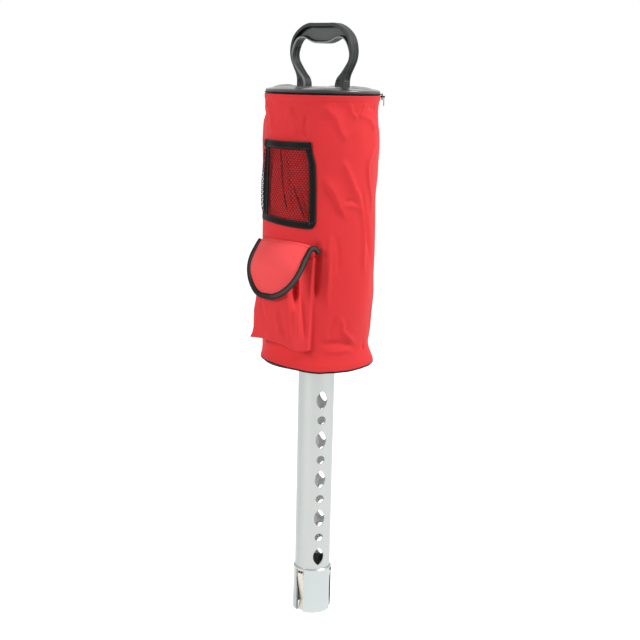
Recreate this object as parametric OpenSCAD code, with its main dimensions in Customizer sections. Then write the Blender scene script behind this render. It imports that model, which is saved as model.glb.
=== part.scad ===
// Golf ball pick-up bag: a slotted aluminium tube with a spring mouth, carried in a round
// cloth bag with a zipped lid, a moulded handle, a mesh pocket and a flap pocket.
// Millimetres, +Z up, the origin on the tube's axis in the plane of the mouth, pockets towards -Y.

/* [Pick-up tube] */
// Outside diameter of the tube
tube_d = 50; // [48:0.5:53]
// Wall of the tube
tube_wall = 1.5; // [1:0.1:2]
// Length of tube that shows between the collar and the bag
tube_showing = 300.3; // [240:0.1:340]
// Width of a large eye-shaped hole
eye_w = 15.4; // [10:0.1:17]
// Height of a large eye-shaped hole
eye_h = 26; // [20:0.5:30]
// Diameter of a small round hole
dot_d = 12; // [6:0.5:14]
// Distance from one large hole to the next
hole_pitch = 57; // [48:0.5:70]
// Height of the first large hole's centre over the collar
first_hole = 19; // [16:0.5:24]
// Number of columns of holes
hole_columns = 3; // [1:1:3]
// Angle from the front column of holes to each of the two at the back
column_turn = 130; // [100:1:150]
// Width of a ball outlet inside the bag
outlet_w = 44.5; // [43.5:0.1:46]
// Height of a ball outlet inside the bag
outlet_h = 60; // [46:1:70]

/* [Mouth collar] */
// Height of the collar
collar_h = 65; // [58:0.5:75]
// Wall of the collar outside the tube
collar_wall = 1.87; // [1.4:0.01:2.6]
// Length of tube inside the collar's socket
socket_len = 11; // [10:0.5:14]
// Bevel at the collar's upper rim
collar_bevel = 1.4; // [0.6:0.1:1.6]
// Bevel at the mouth, inside and out
mouth_bevel = 0.8; // [0.4:0.1:1.2]
// Width of a spring slot
slot_w = 12.5; // [12:0.1:14]
// Solid rim left over a spring slot
slot_rim = 2.5; // [2:0.1:4]
// Radius of a slot's upper corners
slot_corner = 2; // [1:0.1:2.5]

/* [Leaf springs] */
// Width of a strip
strip_w = 10; // [8:0.1:11]
// Thickness of a strip
strip_t = 0.5; // [0.4:0.05:0.8]
// Free space round a strip, beside its moving faces
strip_gap = 0.25; // [0.2:0.01:0.3]
// Distance from the axis to a strip's innermost bow
bow_r = 19.6; // [18.5:0.1:20.8]
// Height of the bow over the mouth
bow_z = 14; // [10:0.5:20]
// Distance from the axis to a strip's free end
tip_r = 23.6; // [22:0.1:24]
// Height of a strip's free end over the mouth
tip_z = 1.6; // [1:0.1:4]

/* [Rivets and screws] */
// Shank diameter of a spring rivet
rivet_d = 2.2; // [1.6:0.1:2.6]
// Head diameter of a spring rivet
rivet_head_d = 3.6; // [3:0.1:4]
// Distance between the two rivets of a strip
rivet_pitch = 4.4; // [4.2:0.1:5]
// Height of a spring rivet's head
rivet_head_h = 1.6; // [0.8:0.1:1.8]
// Thread diameter of a screw
screw_d = 3; // [2.5:0.1:3.4]
// Head diameter of a screw
screw_head_d = 5.2; // [4.6:0.1:5.6]
// Head height of a screw
screw_head_h = 1.6; // [1:0.1:2]
// Shank diameter of a base rivet
base_rivet_d = 4; // [3:0.1:5]
// Head diameter of a base rivet
base_rivet_head_d = 8; // [6:0.1:9]
// Number of base rivets
base_rivet_count = 4; // [3:1:6]
// Number of screws round the tube at the base and at the top
tube_screw_count = 3; // [2:1:4]

/* [Bag] */
// Outside radius of the bag's cloth
bag_r = 77; // [72:0.5:84]
// Height of the cloth from the base to the zip
bag_h = 356.3; // [320:0.5:400]
// Thickness of the cloth wall
cloth_t = 1.2; // [0.8:0.1:1.6]
// How far the cloth draws in above the base
bag_waist = 4.4; // [0:0.1:8]
// Thickness of the cloth under the base
base_cloth_t = 1.4; // [1:0.1:2]
// Thickness of the board in the base
base_board_t = 2.5; // [2:0.1:4]
// Radius of the moulded ring on the board
base_ring_r = 42; // [38:0.5:50]
// Thickness of the moulded ring's flange
base_ring_t = 3; // [2:0.1:4]
// Height of the moulded ring's hub over the board
base_hub_h = 14; // [10:0.5:20]
// Wall of the moulded ring's hub
base_hub_wall = 4; // [3:0.1:6]
// Radius of the piping at the base and on the lid
piping_r = 1.4; // [1:0.1:2]

/* [Zip] */
// Thickness of the zip's tapes
tape_t = 0.8; // [0.5:0.05:1]
// Height of the lower tape
lower_tape_h = 6.4; // [5:0.1:10]
// Height of the closed chain of teeth
chain_h = 2.4; // [1.8:0.1:3]
// Thickness of the chain of teeth
chain_t = 1.8; // [1.4:0.1:2.2]
// Width of tape that shows between the cloth's hem and the teeth
tape_shows = 1.4; // [0.8:0.1:3]
// Angle of the rim at the back that has no teeth
chain_gap_angle = 68; // [40:1:120]
// Angle round the bag from the front to the slider
slider_angle = 128; // [90:1:140]
// Length of the slider along the zip
slider_l = 7.2; // [6:0.1:9]
// Height of the slider across the zip
slider_h = 8.4; // [7:0.1:9]
// Thickness of the slider's outer plate
slider_t = 1.8; // [1.2:0.1:2.4]
// Free space round the slider
slider_gap = 0.3; // [0.25:0.01:0.4]
// Length of the slider's pull
pull_l = 12; // [8:0.5:20]
// Width of the slider's pull
pull_w = 3.2; // [2.4:0.1:4]
// Thickness of the slider's pull
pull_t = 1; // [0.8:0.1:1.2]
// Diameter of the bar that carries the pull
bail_d = 1.2; // [1:0.1:1.4]

/* [Lid] */
// Thickness of the lid's sheet
lid_t = 1.2; // [0.8:0.1:2]
// Height of the lid's side
lid_skirt_h = 3.4; // [3:0.1:6]
// Rise of the lid from its rim to its middle
lid_rise = 6; // [4:0.1:12]
// Radius of the flat middle of the lid
lid_flat_r = 46; // [44:0.5:56]

/* [Handle] */
// Depth of the handle, from front to back
handle_w = 16.5; // [14:0.5:20]
// Depth of the recess in each face of the grip
grip_recess = 5.5; // [3:0.1:6.5]
// Width of a peg inside a handle foot
peg_w = 7; // [5:0.1:8]
// Depth of a peg inside a handle foot
peg_d = 9; // [7:0.1:9.5]
// Height of a peg over the lid
peg_h = 10; // [8:0.5:11]
// Distance from the middle to a peg's centre
peg_x = 33; // [32.5:0.1:34]
// Height of a handle screw over the handle's sole
handle_screw_z = 6; // [5:0.1:6.4]
// Depth of a handle screw's head under the foot's face
head_sink = 1; // [0.4:0.1:1.4]
// Thickness of the top socket's flange
flange_t = 6; // [4:0.5:8]
// Length of the top socket's plug in the tube
plug_len = 20; // [14:0.5:26]

/* [Mesh pocket] */
// Width of the mesh pocket round the bag
mesh_w = 97; // [80:1:110]
// Height of the mesh pocket
mesh_h = 110; // [90:1:124]
// Height of the mesh pocket over the base
mesh_z = 191.7; // [186:0.1:200]
// How far the mesh stands off the bag
mesh_bulge = 9; // [6:0.1:12]
// Width of the mesh pocket's tape
binding_w = 10; // [6:0.1:12]
// Thickness of the mesh pocket's tape
binding_t = 1.2; // [0.8:0.1:1.6]
// Side of one opening of the net
net_side = 4.6; // [4.2:0.1:8]
// Width of a strand of the net
strand_w = 1.5; // [1:0.1:2]
// Thickness of a strand of the net
strand_t = 0.9; // [0.7:0.1:1.2]

/* [Flap pocket] */
// Depth of the flap pocket out from the bag
pocket_depth = 22; // [18:0.5:26]
// Half width of the flap pocket's front
pocket_half_w = 36; // [30:0.5:40]
// Radius of the curve across the pocket's front and the flap
front_arc_r = 95; // [80:1:200]
// Half width of the flap pocket where it meets the bag
pocket_seam_half_w = 47; // [44:0.5:50]
// Height of the flap pocket's floor over the base at the front
pocket_floor_z = 40; // [34:0.5:60]
// Drop of the pocket's floor towards the bag
pocket_floor_drop = 10; // [4:0.5:14]
// Height of the pocket's front edge over the base
pocket_front_z = 137; // [125:0.5:140]
// Height of the pocket's side edges over the base, at the bag
pocket_back_z = 154; // [150:0.5:158]
// Thickness of the pocket's cloth
pocket_t = 1.5; // [1:0.1:2]
// Radius of the pocket's front corners
pocket_corner = 9; // [4:0.5:12]
// Height of the flap's seam over the base
flap_z = 171; // [168:0.5:173]
// Half width of the flap at its seam
flap_root_half_w = 43; // [36:0.5:46]
// Half width of the flap at its widest
flap_half_w = 49; // [44:0.5:54]
// Height from the flap's seam to its lowest point
flap_drop = 71; // [60:0.5:80]
// Thickness of the flap
flap_t = 2; // [1.4:0.1:2.6]
// Free space between the flap and what it closes on
flap_gap = 0.35; // [0.3:0.01:0.5]
// Radius of the flap's rounded edge tape
flap_binding_r = 2.6; // [2:0.1:3]
// Width of a fastening patch
patch_w = 30; // [20:1:40]
// Height of a fastening patch
patch_h = 16; // [10:1:20]
// Thickness of a fastening patch
patch_t = 1; // [0.8:0.1:1.4]

/* [Hidden] */
$fn = 96;

eps = 0.01;
cut = 1;
fit_gap = 0.05;

// Tube and collar
tube_r = tube_d / 2;
bore_r = tube_r - tube_wall;
socket_r = tube_r + fit_gap;
collar_r = socket_r + collar_wall;
shoulder_z = collar_h - socket_len;
slot_top = collar_h - slot_rim;
slot_angles = [0, 120, 240];
hole_turn = 60;
eye_arc_r = (pow(eye_w / 2, 2) + pow(eye_h / 2, 2)) / eye_w;

// Strips and rivets
tab_r = tube_r + strip_gap;
strip_top = slot_top - strip_gap;
rivet_drop = 4;
rivet_z = slot_top - rivet_drop;
bend_gap = 1.2;
bow_round = 2.4;
bow_ease = 0.25;
rivet_x = rivet_pitch / 2;
rivet_hole_gap = 0.3;
rivet_out_r = tab_r + strip_t + strip_gap;
rivet_tail_h = 0.5;
rivet_tail_r = sqrt(pow(bore_r, 2) - pow(rivet_x + rivet_head_d / 2, 2)) - fit_gap;

// Bag heights
base_z = collar_h + tube_showing;
cloth_top = base_z + bag_h;
rim_r = bag_r - cloth_t;
seat_r = rim_r - cloth_t;
skirt_gap = 0.8;
chain_z = cloth_top + tape_shows;
chain_top = chain_z + chain_h;
skirt_z = chain_top + skirt_gap;
skirt_top = skirt_z + lid_skirt_h;
lid_seat_z = skirt_top + lid_rise - lid_t;
sole_z = lid_seat_z + lid_t;
piping_z = skirt_z + piping_r;

// Bag's profile: height over the base, and how far the cloth draws in there
base_band_h = 2 * piping_r + 0.2;
rim_inset = piping_r - 0.2;
function drawn_in(h) = lookup(h, [[0, rim_inset], [base_band_h, rim_inset],
    [13, rim_inset * 0.4 + bag_waist * 0.4], [29, bag_waist], [60, bag_waist * 0.68],
    [105, bag_waist * 0.2], [150, 0], [bag_h, 0]]);
profile_heights = [0, base_band_h, 13, 29, 60, 105, 150, bag_h];
function bag_r_at(h) = bag_r - drawn_in(h);

// Base pieces
board_z = base_z + base_cloth_t;
ring_z = board_z + base_board_t;
ring_top = ring_z + base_ring_t;
hub_r = tube_r + fit_gap + base_hub_wall;
hub_top = ring_z + base_hub_h;
base_screw_z = ring_top + (base_hub_h - base_ring_t) / 2;
base_rivet_ring = (hub_r + base_ring_r) / 2;
base_rivet_head_h = 0.8;
base_hole_gap = 0.3;
base_hole_r = tube_r + base_hole_gap;
board_inset = 1;
tip_showing = 0.6;

// Top socket
flange_inset = 2;
flange_r = lid_flat_r - flange_inset;
flange_z = lid_seat_z - flange_t;
plug_z = flange_z - plug_len;
plug_r = bore_r - fit_gap;
socket_screw_z = flange_z - plug_len / 2;
outlet_gap = 8;
outlet_top = plug_z - outlet_gap;
outlet_z = outlet_top - outlet_h;
screw_r = screw_d / 2;
screw_hole_r = screw_r + fit_gap;
plug_wall = 6;
screw_tip_gap = 1;
screw_end_gap = 1;
cross_half_l = 1.3;
cross_half_w = 0.3;
cross_depth = 0.8;

// Places of the pockets
mesh_base_z = base_z + mesh_z;
mesh_half_angle = mesh_w / 2 / bag_r * 180 / PI;
binding_s = binding_w / mesh_w;
binding_u = binding_w / mesh_h;
mesh_lift = 0.1;
bulge_power = 0.8;
bulge_from = 0.05;
bulge_span = 0.75;
pocket_y = bag_r + pocket_depth;
pocket_back_y = bag_r / 2;
hinge_y = bag_r + flap_gap + flap_t;
hinge_z = base_z + flap_z;

// ---- shared shapes ----

// Point on a circle round the tube's axis: angle 0 is the front, -Y, and it grows towards +X
function around(r, a, z) = [r * sin(a), -r * cos(a), z];

function lerp(a, b, t) = a + (b - a) * t;

// Catmull-Rom curve through points, with steps points on each span
function spline_point(p, i, t) =
    let (a = p[max(i - 1, 0)], b = p[i], c = p[i + 1], d = p[min(i + 2, len(p) - 1)])
    0.5 * (2 * b + (c - a) * t + (2 * a - 5 * b + 4 * c - d) * t * t
        + (3 * b - a - 3 * c + d) * t * t * t);
function spline(p, steps) = concat(
    [for (i = [0:len(p) - 2]) for (k = [0:steps - 1]) spline_point(p, i, k / steps)],
    [p[len(p) - 1]]);

// Cylinder that points outwards at the front, from radius r0 to radius r1
module spoke(r, r0, r1, z, x = 0) {
    translate([x, -r0, z])
        rotate([90, 0, 0])
            cylinder(r = r, h = r1 - r0);
}

module ring(r_in, r_out, z0, z1) {
    translate([0, 0, z0])
        difference() {
            cylinder(r = r_out, h = z1 - z0);
            translate([0, 0, -cut])
                cylinder(r = r_in, h = z1 - z0 + 2 * cut);
        }
}

// Closed sheet between two grids of points: outer is the face that looks away
module sheet(outer, inner) {
    rows = len(outer);
    cols = len(outer[0]);
    half = rows * cols;
    points = concat([for (row = outer) for (p = row) p], [for (row = inner) for (p = row) p]);
    faces = concat(
        [for (i = [0:rows - 2]) for (j = [0:cols - 2]) let (a = i * cols + j)
            each [[a, a + 1, a + cols + 1], [a, a + cols + 1, a + cols],
                [half + a, half + a + cols, half + a + cols + 1],
                [half + a, half + a + cols + 1, half + a + 1]]],
        [for (i = [0:rows - 2]) let (a = i * cols, b = a + cols - 1)
            each [[a, a + cols, half + a + cols], [a, half + a + cols, half + a],
                [b, half + b, half + b + cols], [b, half + b + cols, b + cols]]],
        [for (j = [0:cols - 2]) let (a = j, b = (rows - 1) * cols + j)
            each [[a, half + a, half + a + 1], [a, half + a + 1, a + 1],
                [b, b + 1, half + b + 1], [b, half + b + 1, half + b]]]);
    polyhedron(points = points, faces = faces, convexity = 8);
}

// Half-round ring on the outside of a cylinder of radius r
module half_round_ring(r, z) {
    rotate_extrude()
        translate([r, z])
            intersection() {
                circle(r = piping_r, $fn = 32);
                translate([0, -2 * piping_r])
                    square([2 * piping_r, 4 * piping_r]);
            }
}

// ---- pick-up tube ----

module eye_hole(z) {
    translate([0, 0, z])
        rotate([90, 0, 0])
            linear_extrude(height = tube_r + cut)
                intersection() {
                    translate([eye_arc_r - eye_w / 2, 0])
                        circle(r = eye_arc_r);
                    translate([eye_w / 2 - eye_arc_r, 0])
                        circle(r = eye_arc_r);
                }
}

module pickup_tube() {
    holes_from = collar_h + first_hole;
    hole_end_gap = 4;
    hole_rows = floor((tube_showing - first_hole - eye_h / 2 - hole_end_gap) / hole_pitch);
    color("lightsteelblue")
    difference() {
        ring(bore_r, tube_r, shoulder_z, flange_z);
        for (k = [0:hole_columns - 1]) {
            rotate([0, 0, hole_turn + [0, 1, -1][k] * column_turn]) {
                for (i = [0:hole_rows])
                    eye_hole(holes_from + hole_pitch * i);
                for (i = [0:hole_rows - 1])
                    spoke(dot_d / 2, bore_r / 2, tube_r + cut, holes_from + hole_pitch * (i + 0.5));
            }
        }
        translate([-outlet_w / 2, -tube_r - cut, outlet_z])
            cube([outlet_w, 2 * tube_r + 2 * cut, outlet_h]);
        for (a = slot_angles)
            rotate([0, 0, a])
                for (x = [-rivet_x, rivet_x])
                    spoke(rivet_d / 2 + fit_gap, bore_r / 2, tube_r + cut, rivet_z, x);
        for (k = [0:tube_screw_count - 1])
            rotate([0, 0, 90 + 360 / tube_screw_count * k])
                for (z = [base_screw_z, socket_screw_z])
                    spoke(screw_hole_r, bore_r / 2, tube_r + cut, z);
    }
}

module slot_cut() {
    difference() {
        translate([-slot_w / 2, -collar_r - cut, -cut])
            cube([slot_w, collar_r + cut, slot_top + cut]);
        for (side = [-1, 1])
            translate([side * slot_w / 2, 0, slot_top])
                rotate([90, 0, 0])
                    linear_extrude(height = collar_r + 2 * cut)
                        difference() {
                            square(2 * slot_corner, center = true);
                            translate([-side * slot_corner, -slot_corner])
                                circle(r = slot_corner);
                        }
    }
}

module mouth_collar() {
    color("lightsteelblue")
    difference() {
        rotate_extrude()
            polygon([[bore_r + mouth_bevel, 0], [collar_r - mouth_bevel, 0],
                [collar_r, mouth_bevel], [collar_r, collar_h - collar_bevel],
                [collar_r - collar_bevel, collar_h], [socket_r, collar_h],
                [socket_r, shoulder_z], [bore_r, shoulder_z], [bore_r, mouth_bevel]]);
        for (a = slot_angles)
            rotate([0, 0, a])
                slot_cut();
    }
}

// Strip seen from its edge: radius and height, from the top of the tab to the free end
module strip_edge() {
    inner = [[tab_r, strip_top], [tab_r, shoulder_z - bend_gap],
        [bow_r + bow_ease, bow_z + bow_round], [bow_r, bow_z],
        [bow_r + bow_ease, bow_z - bow_round], [tip_r, tip_z]];
    outer = [for (i = [len(inner) - 1:-1:0]) [inner[i][0] + strip_t, inner[i][1]]];
    polygon(concat(inner, outer));
}

module leaf_spring(a) {
    color("tan")
    rotate([0, 0, a])
        difference() {
            rotate([90, 0, -90])
                translate([0, 0, -strip_w / 2])
                    linear_extrude(height = strip_w)
                        strip_edge();
            for (side = [-1, 1]) {
                translate([side * strip_w / 2, 0, strip_top])
                    rotate([90, 0, 0])
                        linear_extrude(height = collar_r)
                            difference() {
                                square(2 * slot_corner, center = true);
                                translate([-side * slot_corner, -slot_corner])
                                    circle(r = slot_corner);
                            }
                spoke(rivet_d / 2 + rivet_hole_gap, tube_r, collar_r, rivet_z, side * rivet_x);
            }
        }
}

module leaf_spring_1() leaf_spring(slot_angles[0]);
module leaf_spring_2() leaf_spring(slot_angles[1]);
module leaf_spring_3() leaf_spring(slot_angles[2]);

// Dome-headed rivet through the tube, flat tail inside
module spring_rivet(x) {
    head_sphere_r = (pow(rivet_head_d / 2, 2) + pow(rivet_head_h, 2)) / (2 * rivet_head_h);
    spoke(rivet_d / 2, rivet_tail_r - eps, rivet_out_r + eps, rivet_z, x);
    spoke(rivet_head_d / 2, rivet_tail_r - rivet_tail_h, rivet_tail_r, rivet_z, x);
    intersection() {
        translate([x, -rivet_out_r - rivet_head_h + head_sphere_r, rivet_z])
            sphere(r = head_sphere_r, $fn = 48);
        spoke(rivet_head_d / 2, rivet_out_r, rivet_out_r + rivet_head_h + cut, rivet_z, x);
    }
}

module spring_rivets() {
    color("silver")
    for (a = slot_angles)
        rotate([0, 0, a])
            for (x = [-rivet_x, rivet_x])
                spring_rivet(x);
}

// ---- top socket, lid and handle ----

// Square peg from height z0 up to height z1, made larger all round by grow
module peg(z0, z1, grow = 0) {
    translate([-peg_w / 2 - grow, -peg_d / 2 - grow, z0])
        cube([peg_w + 2 * grow, peg_d + 2 * grow, z1 - z0]);
}

module top_socket() {
    color("dimgray")
    difference() {
        union() {
            translate([0, 0, plug_z])
                cylinder(r = plug_r, h = plug_len + eps);
            translate([0, 0, flange_z])
                cylinder(r = flange_r, h = flange_t);
            for (side = [-1, 1])
                translate([side * peg_x, 0, 0])
                    peg(lid_seat_z - eps, sole_z + peg_h);
        }
        translate([0, 0, plug_z - cut])
            cylinder(r = plug_r - plug_wall, h = plug_len + cut);
        for (k = [0:tube_screw_count - 1])
            rotate([0, 0, 90 + 360 / tube_screw_count * k])
                spoke(screw_hole_r, plug_r - plug_wall - cut, plug_r + cut, socket_screw_z);
        for (side = [-1, 1])
            spoke(screw_hole_r, -peg_d / 2 - cut, peg_d / 2 + cut, sole_z + handle_screw_z,
                side * peg_x);
    }
}

// Round-headed screw that enters inwards from radius r0
module tube_screw(r0, bite, z) {
    spoke(screw_r, r0 - bite, r0 + eps, z);
    spoke(screw_head_d / 2, r0, r0 + screw_head_h, z);
}

module socket_screws() {
    color("silver")
    for (k = [0:tube_screw_count - 1])
        rotate([0, 0, 90 + 360 / tube_screw_count * k])
            tube_screw(tube_r + fit_gap, tube_wall + plug_wall - screw_tip_gap, socket_screw_z);
}

module lid_panel() {
    steps = 6;
    span = rim_r - lid_flat_r;
    curve = [for (i = [0:steps]) [lid_flat_r + span * i / steps,
        sole_z - lid_rise * (1 - cos(90 * i / steps))]];
    under = [for (i = [steps:-1:0]) [lid_flat_r + (span - lid_t) * i / steps,
        lid_seat_z - (lid_rise - lid_t) * (1 - cos(90 * i / steps))]];
    color("dimgray")
    difference() {
        rotate_extrude()
            polygon(concat([[0, sole_z]], curve, [[rim_r, skirt_z], [rim_r - lid_t, skirt_z]],
                under, [[0, lid_seat_z]]));
        for (side = [-1, 1])
            translate([side * peg_x, 0, 0])
                peg(lid_seat_z - cut, sole_z + cut, fit_gap);
    }
}

module lid_piping() {
    color("black")
    half_round_ring(rim_r, piping_z);
}

// Right half of the handle's outline over its sole: the outside from the top down
handle_outer = [[22, 82.8], [33.2, 78.6], [43.4, 71], [50, 61.3], [53.1, 48], [51.6, 35.8],
    [46.3, 24.4], [41.6, 14.8], [40.2, 5.8], [40.2, 0]];
// and the inside from the foot up to the middle of the grip
handle_inner = [[25.6, 0], [26, 6.3], [29.9, 12.8], [40.8, 24.4], [46.9, 33.3], [48.4, 42],
    [46.5, 51], [41.2, 59.6], [36.4, 63.4], [31, 64.4], [25, 63], [17, 59.6], [10, 58.1], [0, 57.8]];
grip_rim = 4.4;
grip_lip = 2.4;
// Right half of the recess in the grip: under the top rim, and over the lip of the inside
recess_top = handle_outer[0][1] - grip_rim;
function over_lip(i) = handle_inner[i][1] + grip_lip;
recess_outline = [[0, recess_top], [20, recess_top], [31, 74.4], [39.2, 68],
    [43.6, 62.4], [37.6, 65.6], [31, over_lip(9)], [24.6, over_lip(10)],
    [16.6, over_lip(11)], [10, over_lip(12)], [0, over_lip(13)]];

function mirrored(p) = [for (i = [len(p) - 1:-1:0]) [-p[i][0], p[i][1]]];

module handle_outline() {
    outer = spline(handle_outer, 5);
    inner = spline(handle_inner, 4);
    half = concat(outer, inner);
    polygon(concat(half, mirrored(half)));
}

module handle_recess() {
    half = spline(recess_outline, 4);
    polygon(concat(half, mirrored(half)));
}

module handle() {
    color("dimgray")
    translate([0, 0, sole_z])
        difference() {
            rotate([90, 0, 0])
                translate([0, 0, -handle_w / 2])
                    linear_extrude(height = handle_w)
                        handle_outline();
            for (y = [handle_w / 2 + cut, grip_recess - handle_w / 2])
                translate([0, y, 0])
                    rotate([90, 0, 0])
                        linear_extrude(height = grip_recess + cut)
                            handle_recess();
            for (side = [-1, 1])
                translate([side * peg_x, 0, 0]) {
                    peg(-cut, peg_h + fit_gap, fit_gap);
                    spoke(screw_hole_r, 0, handle_w / 2 + cut, handle_screw_z);
                    spoke(screw_head_d / 2 + fit_gap, handle_w / 2 - head_sink - screw_head_h,
                        handle_w / 2 + cut, handle_screw_z);
                }
        }
}

module handle_screws() {
    seat_y = handle_w / 2 - head_sink - screw_head_h;
    color("silver")
    for (side = [-1, 1])
        translate([side * peg_x, 0, sole_z + handle_screw_z])
            difference() {
                union() {
                    spoke(screw_r, screw_end_gap - peg_d / 2, seat_y + eps, 0);
                    spoke(screw_head_d / 2, seat_y, seat_y + screw_head_h, 0);
                }
                for (turn = [0, 90])
                    rotate([0, turn, 0])
                        translate([-cross_half_l, -seat_y - screw_head_h - cut, -cross_half_w])
                            cube([2 * cross_half_l, cut + cross_depth, 2 * cross_half_w]);
            }
}

// ---- zip ----

module zip_tape_upper() {
    color("black")
    ring(seat_r - tape_t, seat_r, chain_top, skirt_top);
}

module zip_tape_lower() {
    color("black")
    ring(seat_r - tape_t, seat_r, chain_z - lower_tape_h, chain_z);
}

module zip_teeth() {
    chain_mid_r = seat_r - tape_t / 2;
    gap_reach = 2 * bag_r;
    color("black")
    difference() {
        ring(chain_mid_r - chain_t / 2, chain_mid_r + chain_t / 2, chain_z, chain_top);
        translate([0, 0, chain_z - cut])
            linear_extrude(height = chain_h + 2 * cut)
                polygon([[0, 0], [gap_reach * sin(chain_gap_angle / 2),
                    gap_reach * cos(chain_gap_angle / 2)], [-gap_reach * sin(chain_gap_angle / 2),
                    gap_reach * cos(chain_gap_angle / 2)]]);
    }
}

slider_face = rim_r + piping_r + slider_gap;
chain_face = seat_r - tape_t / 2 + chain_t / 2 + slider_gap;
slider_z = chain_z + chain_h / 2;
pull_gap = 0.2;
eye_gap = 0.1;
eye_wall = 0.7;
eye_r = bail_d / 2 + eye_gap + eye_wall;
bail_y = slider_face + slider_t + pull_gap + eye_r;
eye_w_half = pull_w / 2 - 0.5;
bail_post = 1.2;
bail_half = eye_w_half + pull_gap + bail_post;

// Plate with a blunt nose at each end, a tongue that reaches in to the chain, and a bail
module zip_slider() {
    nose = 1;
    half_l = slider_l / 2;
    half_h = slider_h / 2;
    plate_top = slider_face + slider_t;
    color("black")
    rotate([0, 0, slider_angle]) {
        translate([0, -slider_face, slider_z])
            rotate([90, 0, 0])
                linear_extrude(height = slider_t)
                    polygon([[-half_l, nose - half_h], [nose - half_l, -half_h],
                        [half_l - nose, 1.4 * nose - half_h], [half_l, 0],
                        [half_l - nose, half_h - 1.4 * nose], [nose - half_l, half_h],
                        [-half_l, half_h - nose]]);
        translate([nose - half_l, -slider_face - eps, chain_z])
            cube([slider_l - 2 * nose, slider_face - chain_face + eps, chain_h]);
        for (side = [-1, 1])
            translate([side * (bail_half - bail_post / 2) - bail_post / 2, -bail_y - bail_d / 2,
                slider_z - bail_d / 2])
                cube([bail_post, bail_y + bail_d / 2 - plate_top + eps, bail_d]);
        translate([-bail_half, -bail_y, slider_z])
            rotate([0, 90, 0])
                cylinder(r = bail_d / 2, h = 2 * bail_half, $fn = 32);
    }
}

// Outline of the pull's tab, below the eye: a narrow neck and a round-ended tab
module pull_outline() {
    neck_l = pull_l * 0.4;
    tab_r = pull_w / 2;
    translate([-eye_w_half, -neck_l])
        square([2 * eye_w_half, neck_l]);
    translate([-tab_r, tab_r - pull_l])
        square([pull_w, pull_l - tab_r - neck_l]);
    translate([0, tab_r - pull_l])
        circle(r = tab_r);
}

module zip_pull() {
    color("silver")
    rotate([0, 0, slider_angle])
        translate([0, -bail_y, slider_z])
            difference() {
                union() {
                    translate([-eye_w_half, 0, 0])
                        rotate([0, 90, 0])
                            cylinder(r = eye_r, h = 2 * eye_w_half, $fn = 32);
                    translate([0, pull_t / 2, 0])
                        rotate([90, 0, 0])
                            linear_extrude(height = pull_t)
                                pull_outline();
                }
                translate([-pull_w, 0, 0])
                    rotate([0, 90, 0])
                        cylinder(r = bail_d / 2 + eye_gap, h = 2 * pull_w, $fn = 32);
            }
}

// ---- bag ----

// The bag's whole volume, with its face moved out by grow
module bag_solid(grow) {
    rotate_extrude()
        polygon(concat([[0, base_z]],
            [for (h = profile_heights) [bag_r_at(h) + grow, base_z + h]], [[0, cloth_top]]));
}

module bag_body() {
    last = len(profile_heights) - 1;
    color("crimson")
    rotate_extrude()
        polygon(concat(
            [for (h = profile_heights) [bag_r_at(h), base_z + h]],
            [[seat_r, cloth_top], [seat_r, cloth_top - cloth_t], [rim_r, cloth_top - cloth_t]],
            [for (i = [last - 1:-1:0]) let (h = profile_heights[i])
                [bag_r_at(h) - cloth_t, base_z + h]]));
}

module base_panel() {
    color("black")
    difference() {
        ring(base_hole_r, bag_r_at(0) - cloth_t, base_z, board_z);
        base_rivet_holes();
    }
}

module base_rivet_holes() {
    for (k = [0:base_rivet_count - 1])
        rotate([0, 0, 45 + 360 / base_rivet_count * k])
            translate([0, -base_rivet_ring, base_z - cut])
                cylinder(d = base_rivet_d + 2 * fit_gap, h = ring_top - base_z + 2 * cut);
}

module base_board() {
    color("dimgray")
    difference() {
        ring(base_hole_r, bag_r_at(0) - cloth_t - board_inset, board_z, ring_z);
        base_rivet_holes();
    }
}

module base_piping() {
    color("black")
    half_round_ring(bag_r_at(0), base_z + piping_r);
}

module base_ring() {
    color("dimgray")
    difference() {
        union() {
            ring(tube_r + fit_gap, base_ring_r, ring_z, ring_top);
            ring(tube_r + fit_gap, hub_r, ring_z, hub_top);
        }
        for (k = [0:tube_screw_count - 1])
            rotate([0, 0, 90 + 360 / tube_screw_count * k])
                spoke(screw_hole_r, tube_r, hub_r + cut, base_screw_z);
        base_rivet_holes();
    }
}

module base_screws() {
    color("silver")
    for (k = [0:tube_screw_count - 1])
        rotate([0, 0, 90 + 360 / tube_screw_count * k])
            tube_screw(hub_r + fit_gap, hub_r - bore_r + tip_showing, base_screw_z);
}

module base_rivets() {
    color("silver")
    for (k = [0:base_rivet_count - 1])
        rotate([0, 0, 45 + 360 / base_rivet_count * k])
            translate([0, -base_rivet_ring, 0]) {
                translate([0, 0, base_z - base_rivet_head_h])
                    cylinder(d = base_rivet_head_d, h = base_rivet_head_h);
                translate([0, 0, base_z - eps])
                    cylinder(d = base_rivet_d, h = ring_top - base_z + 2 * eps);
                translate([0, 0, ring_top])
                    cylinder(d = base_rivet_head_d, h = base_rivet_head_h);
            }
}

// ---- mesh pocket ----

// How far the pocket stands off the bag: s runs across and u up, both from 0 to 1
function pocket_bulge(s, u) = mesh_bulge * pow(max(sin(180 * s), 0), bulge_power)
    * sin(180 * (bulge_from + bulge_span * u));
function mesh_point(s, u, lift) = around(
    bag_r_at(mesh_z + u * mesh_h) + mesh_lift + pocket_bulge(s, u) + lift,
    lerp(-mesh_half_angle, mesh_half_angle, s), mesh_base_z + u * mesh_h);

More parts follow.
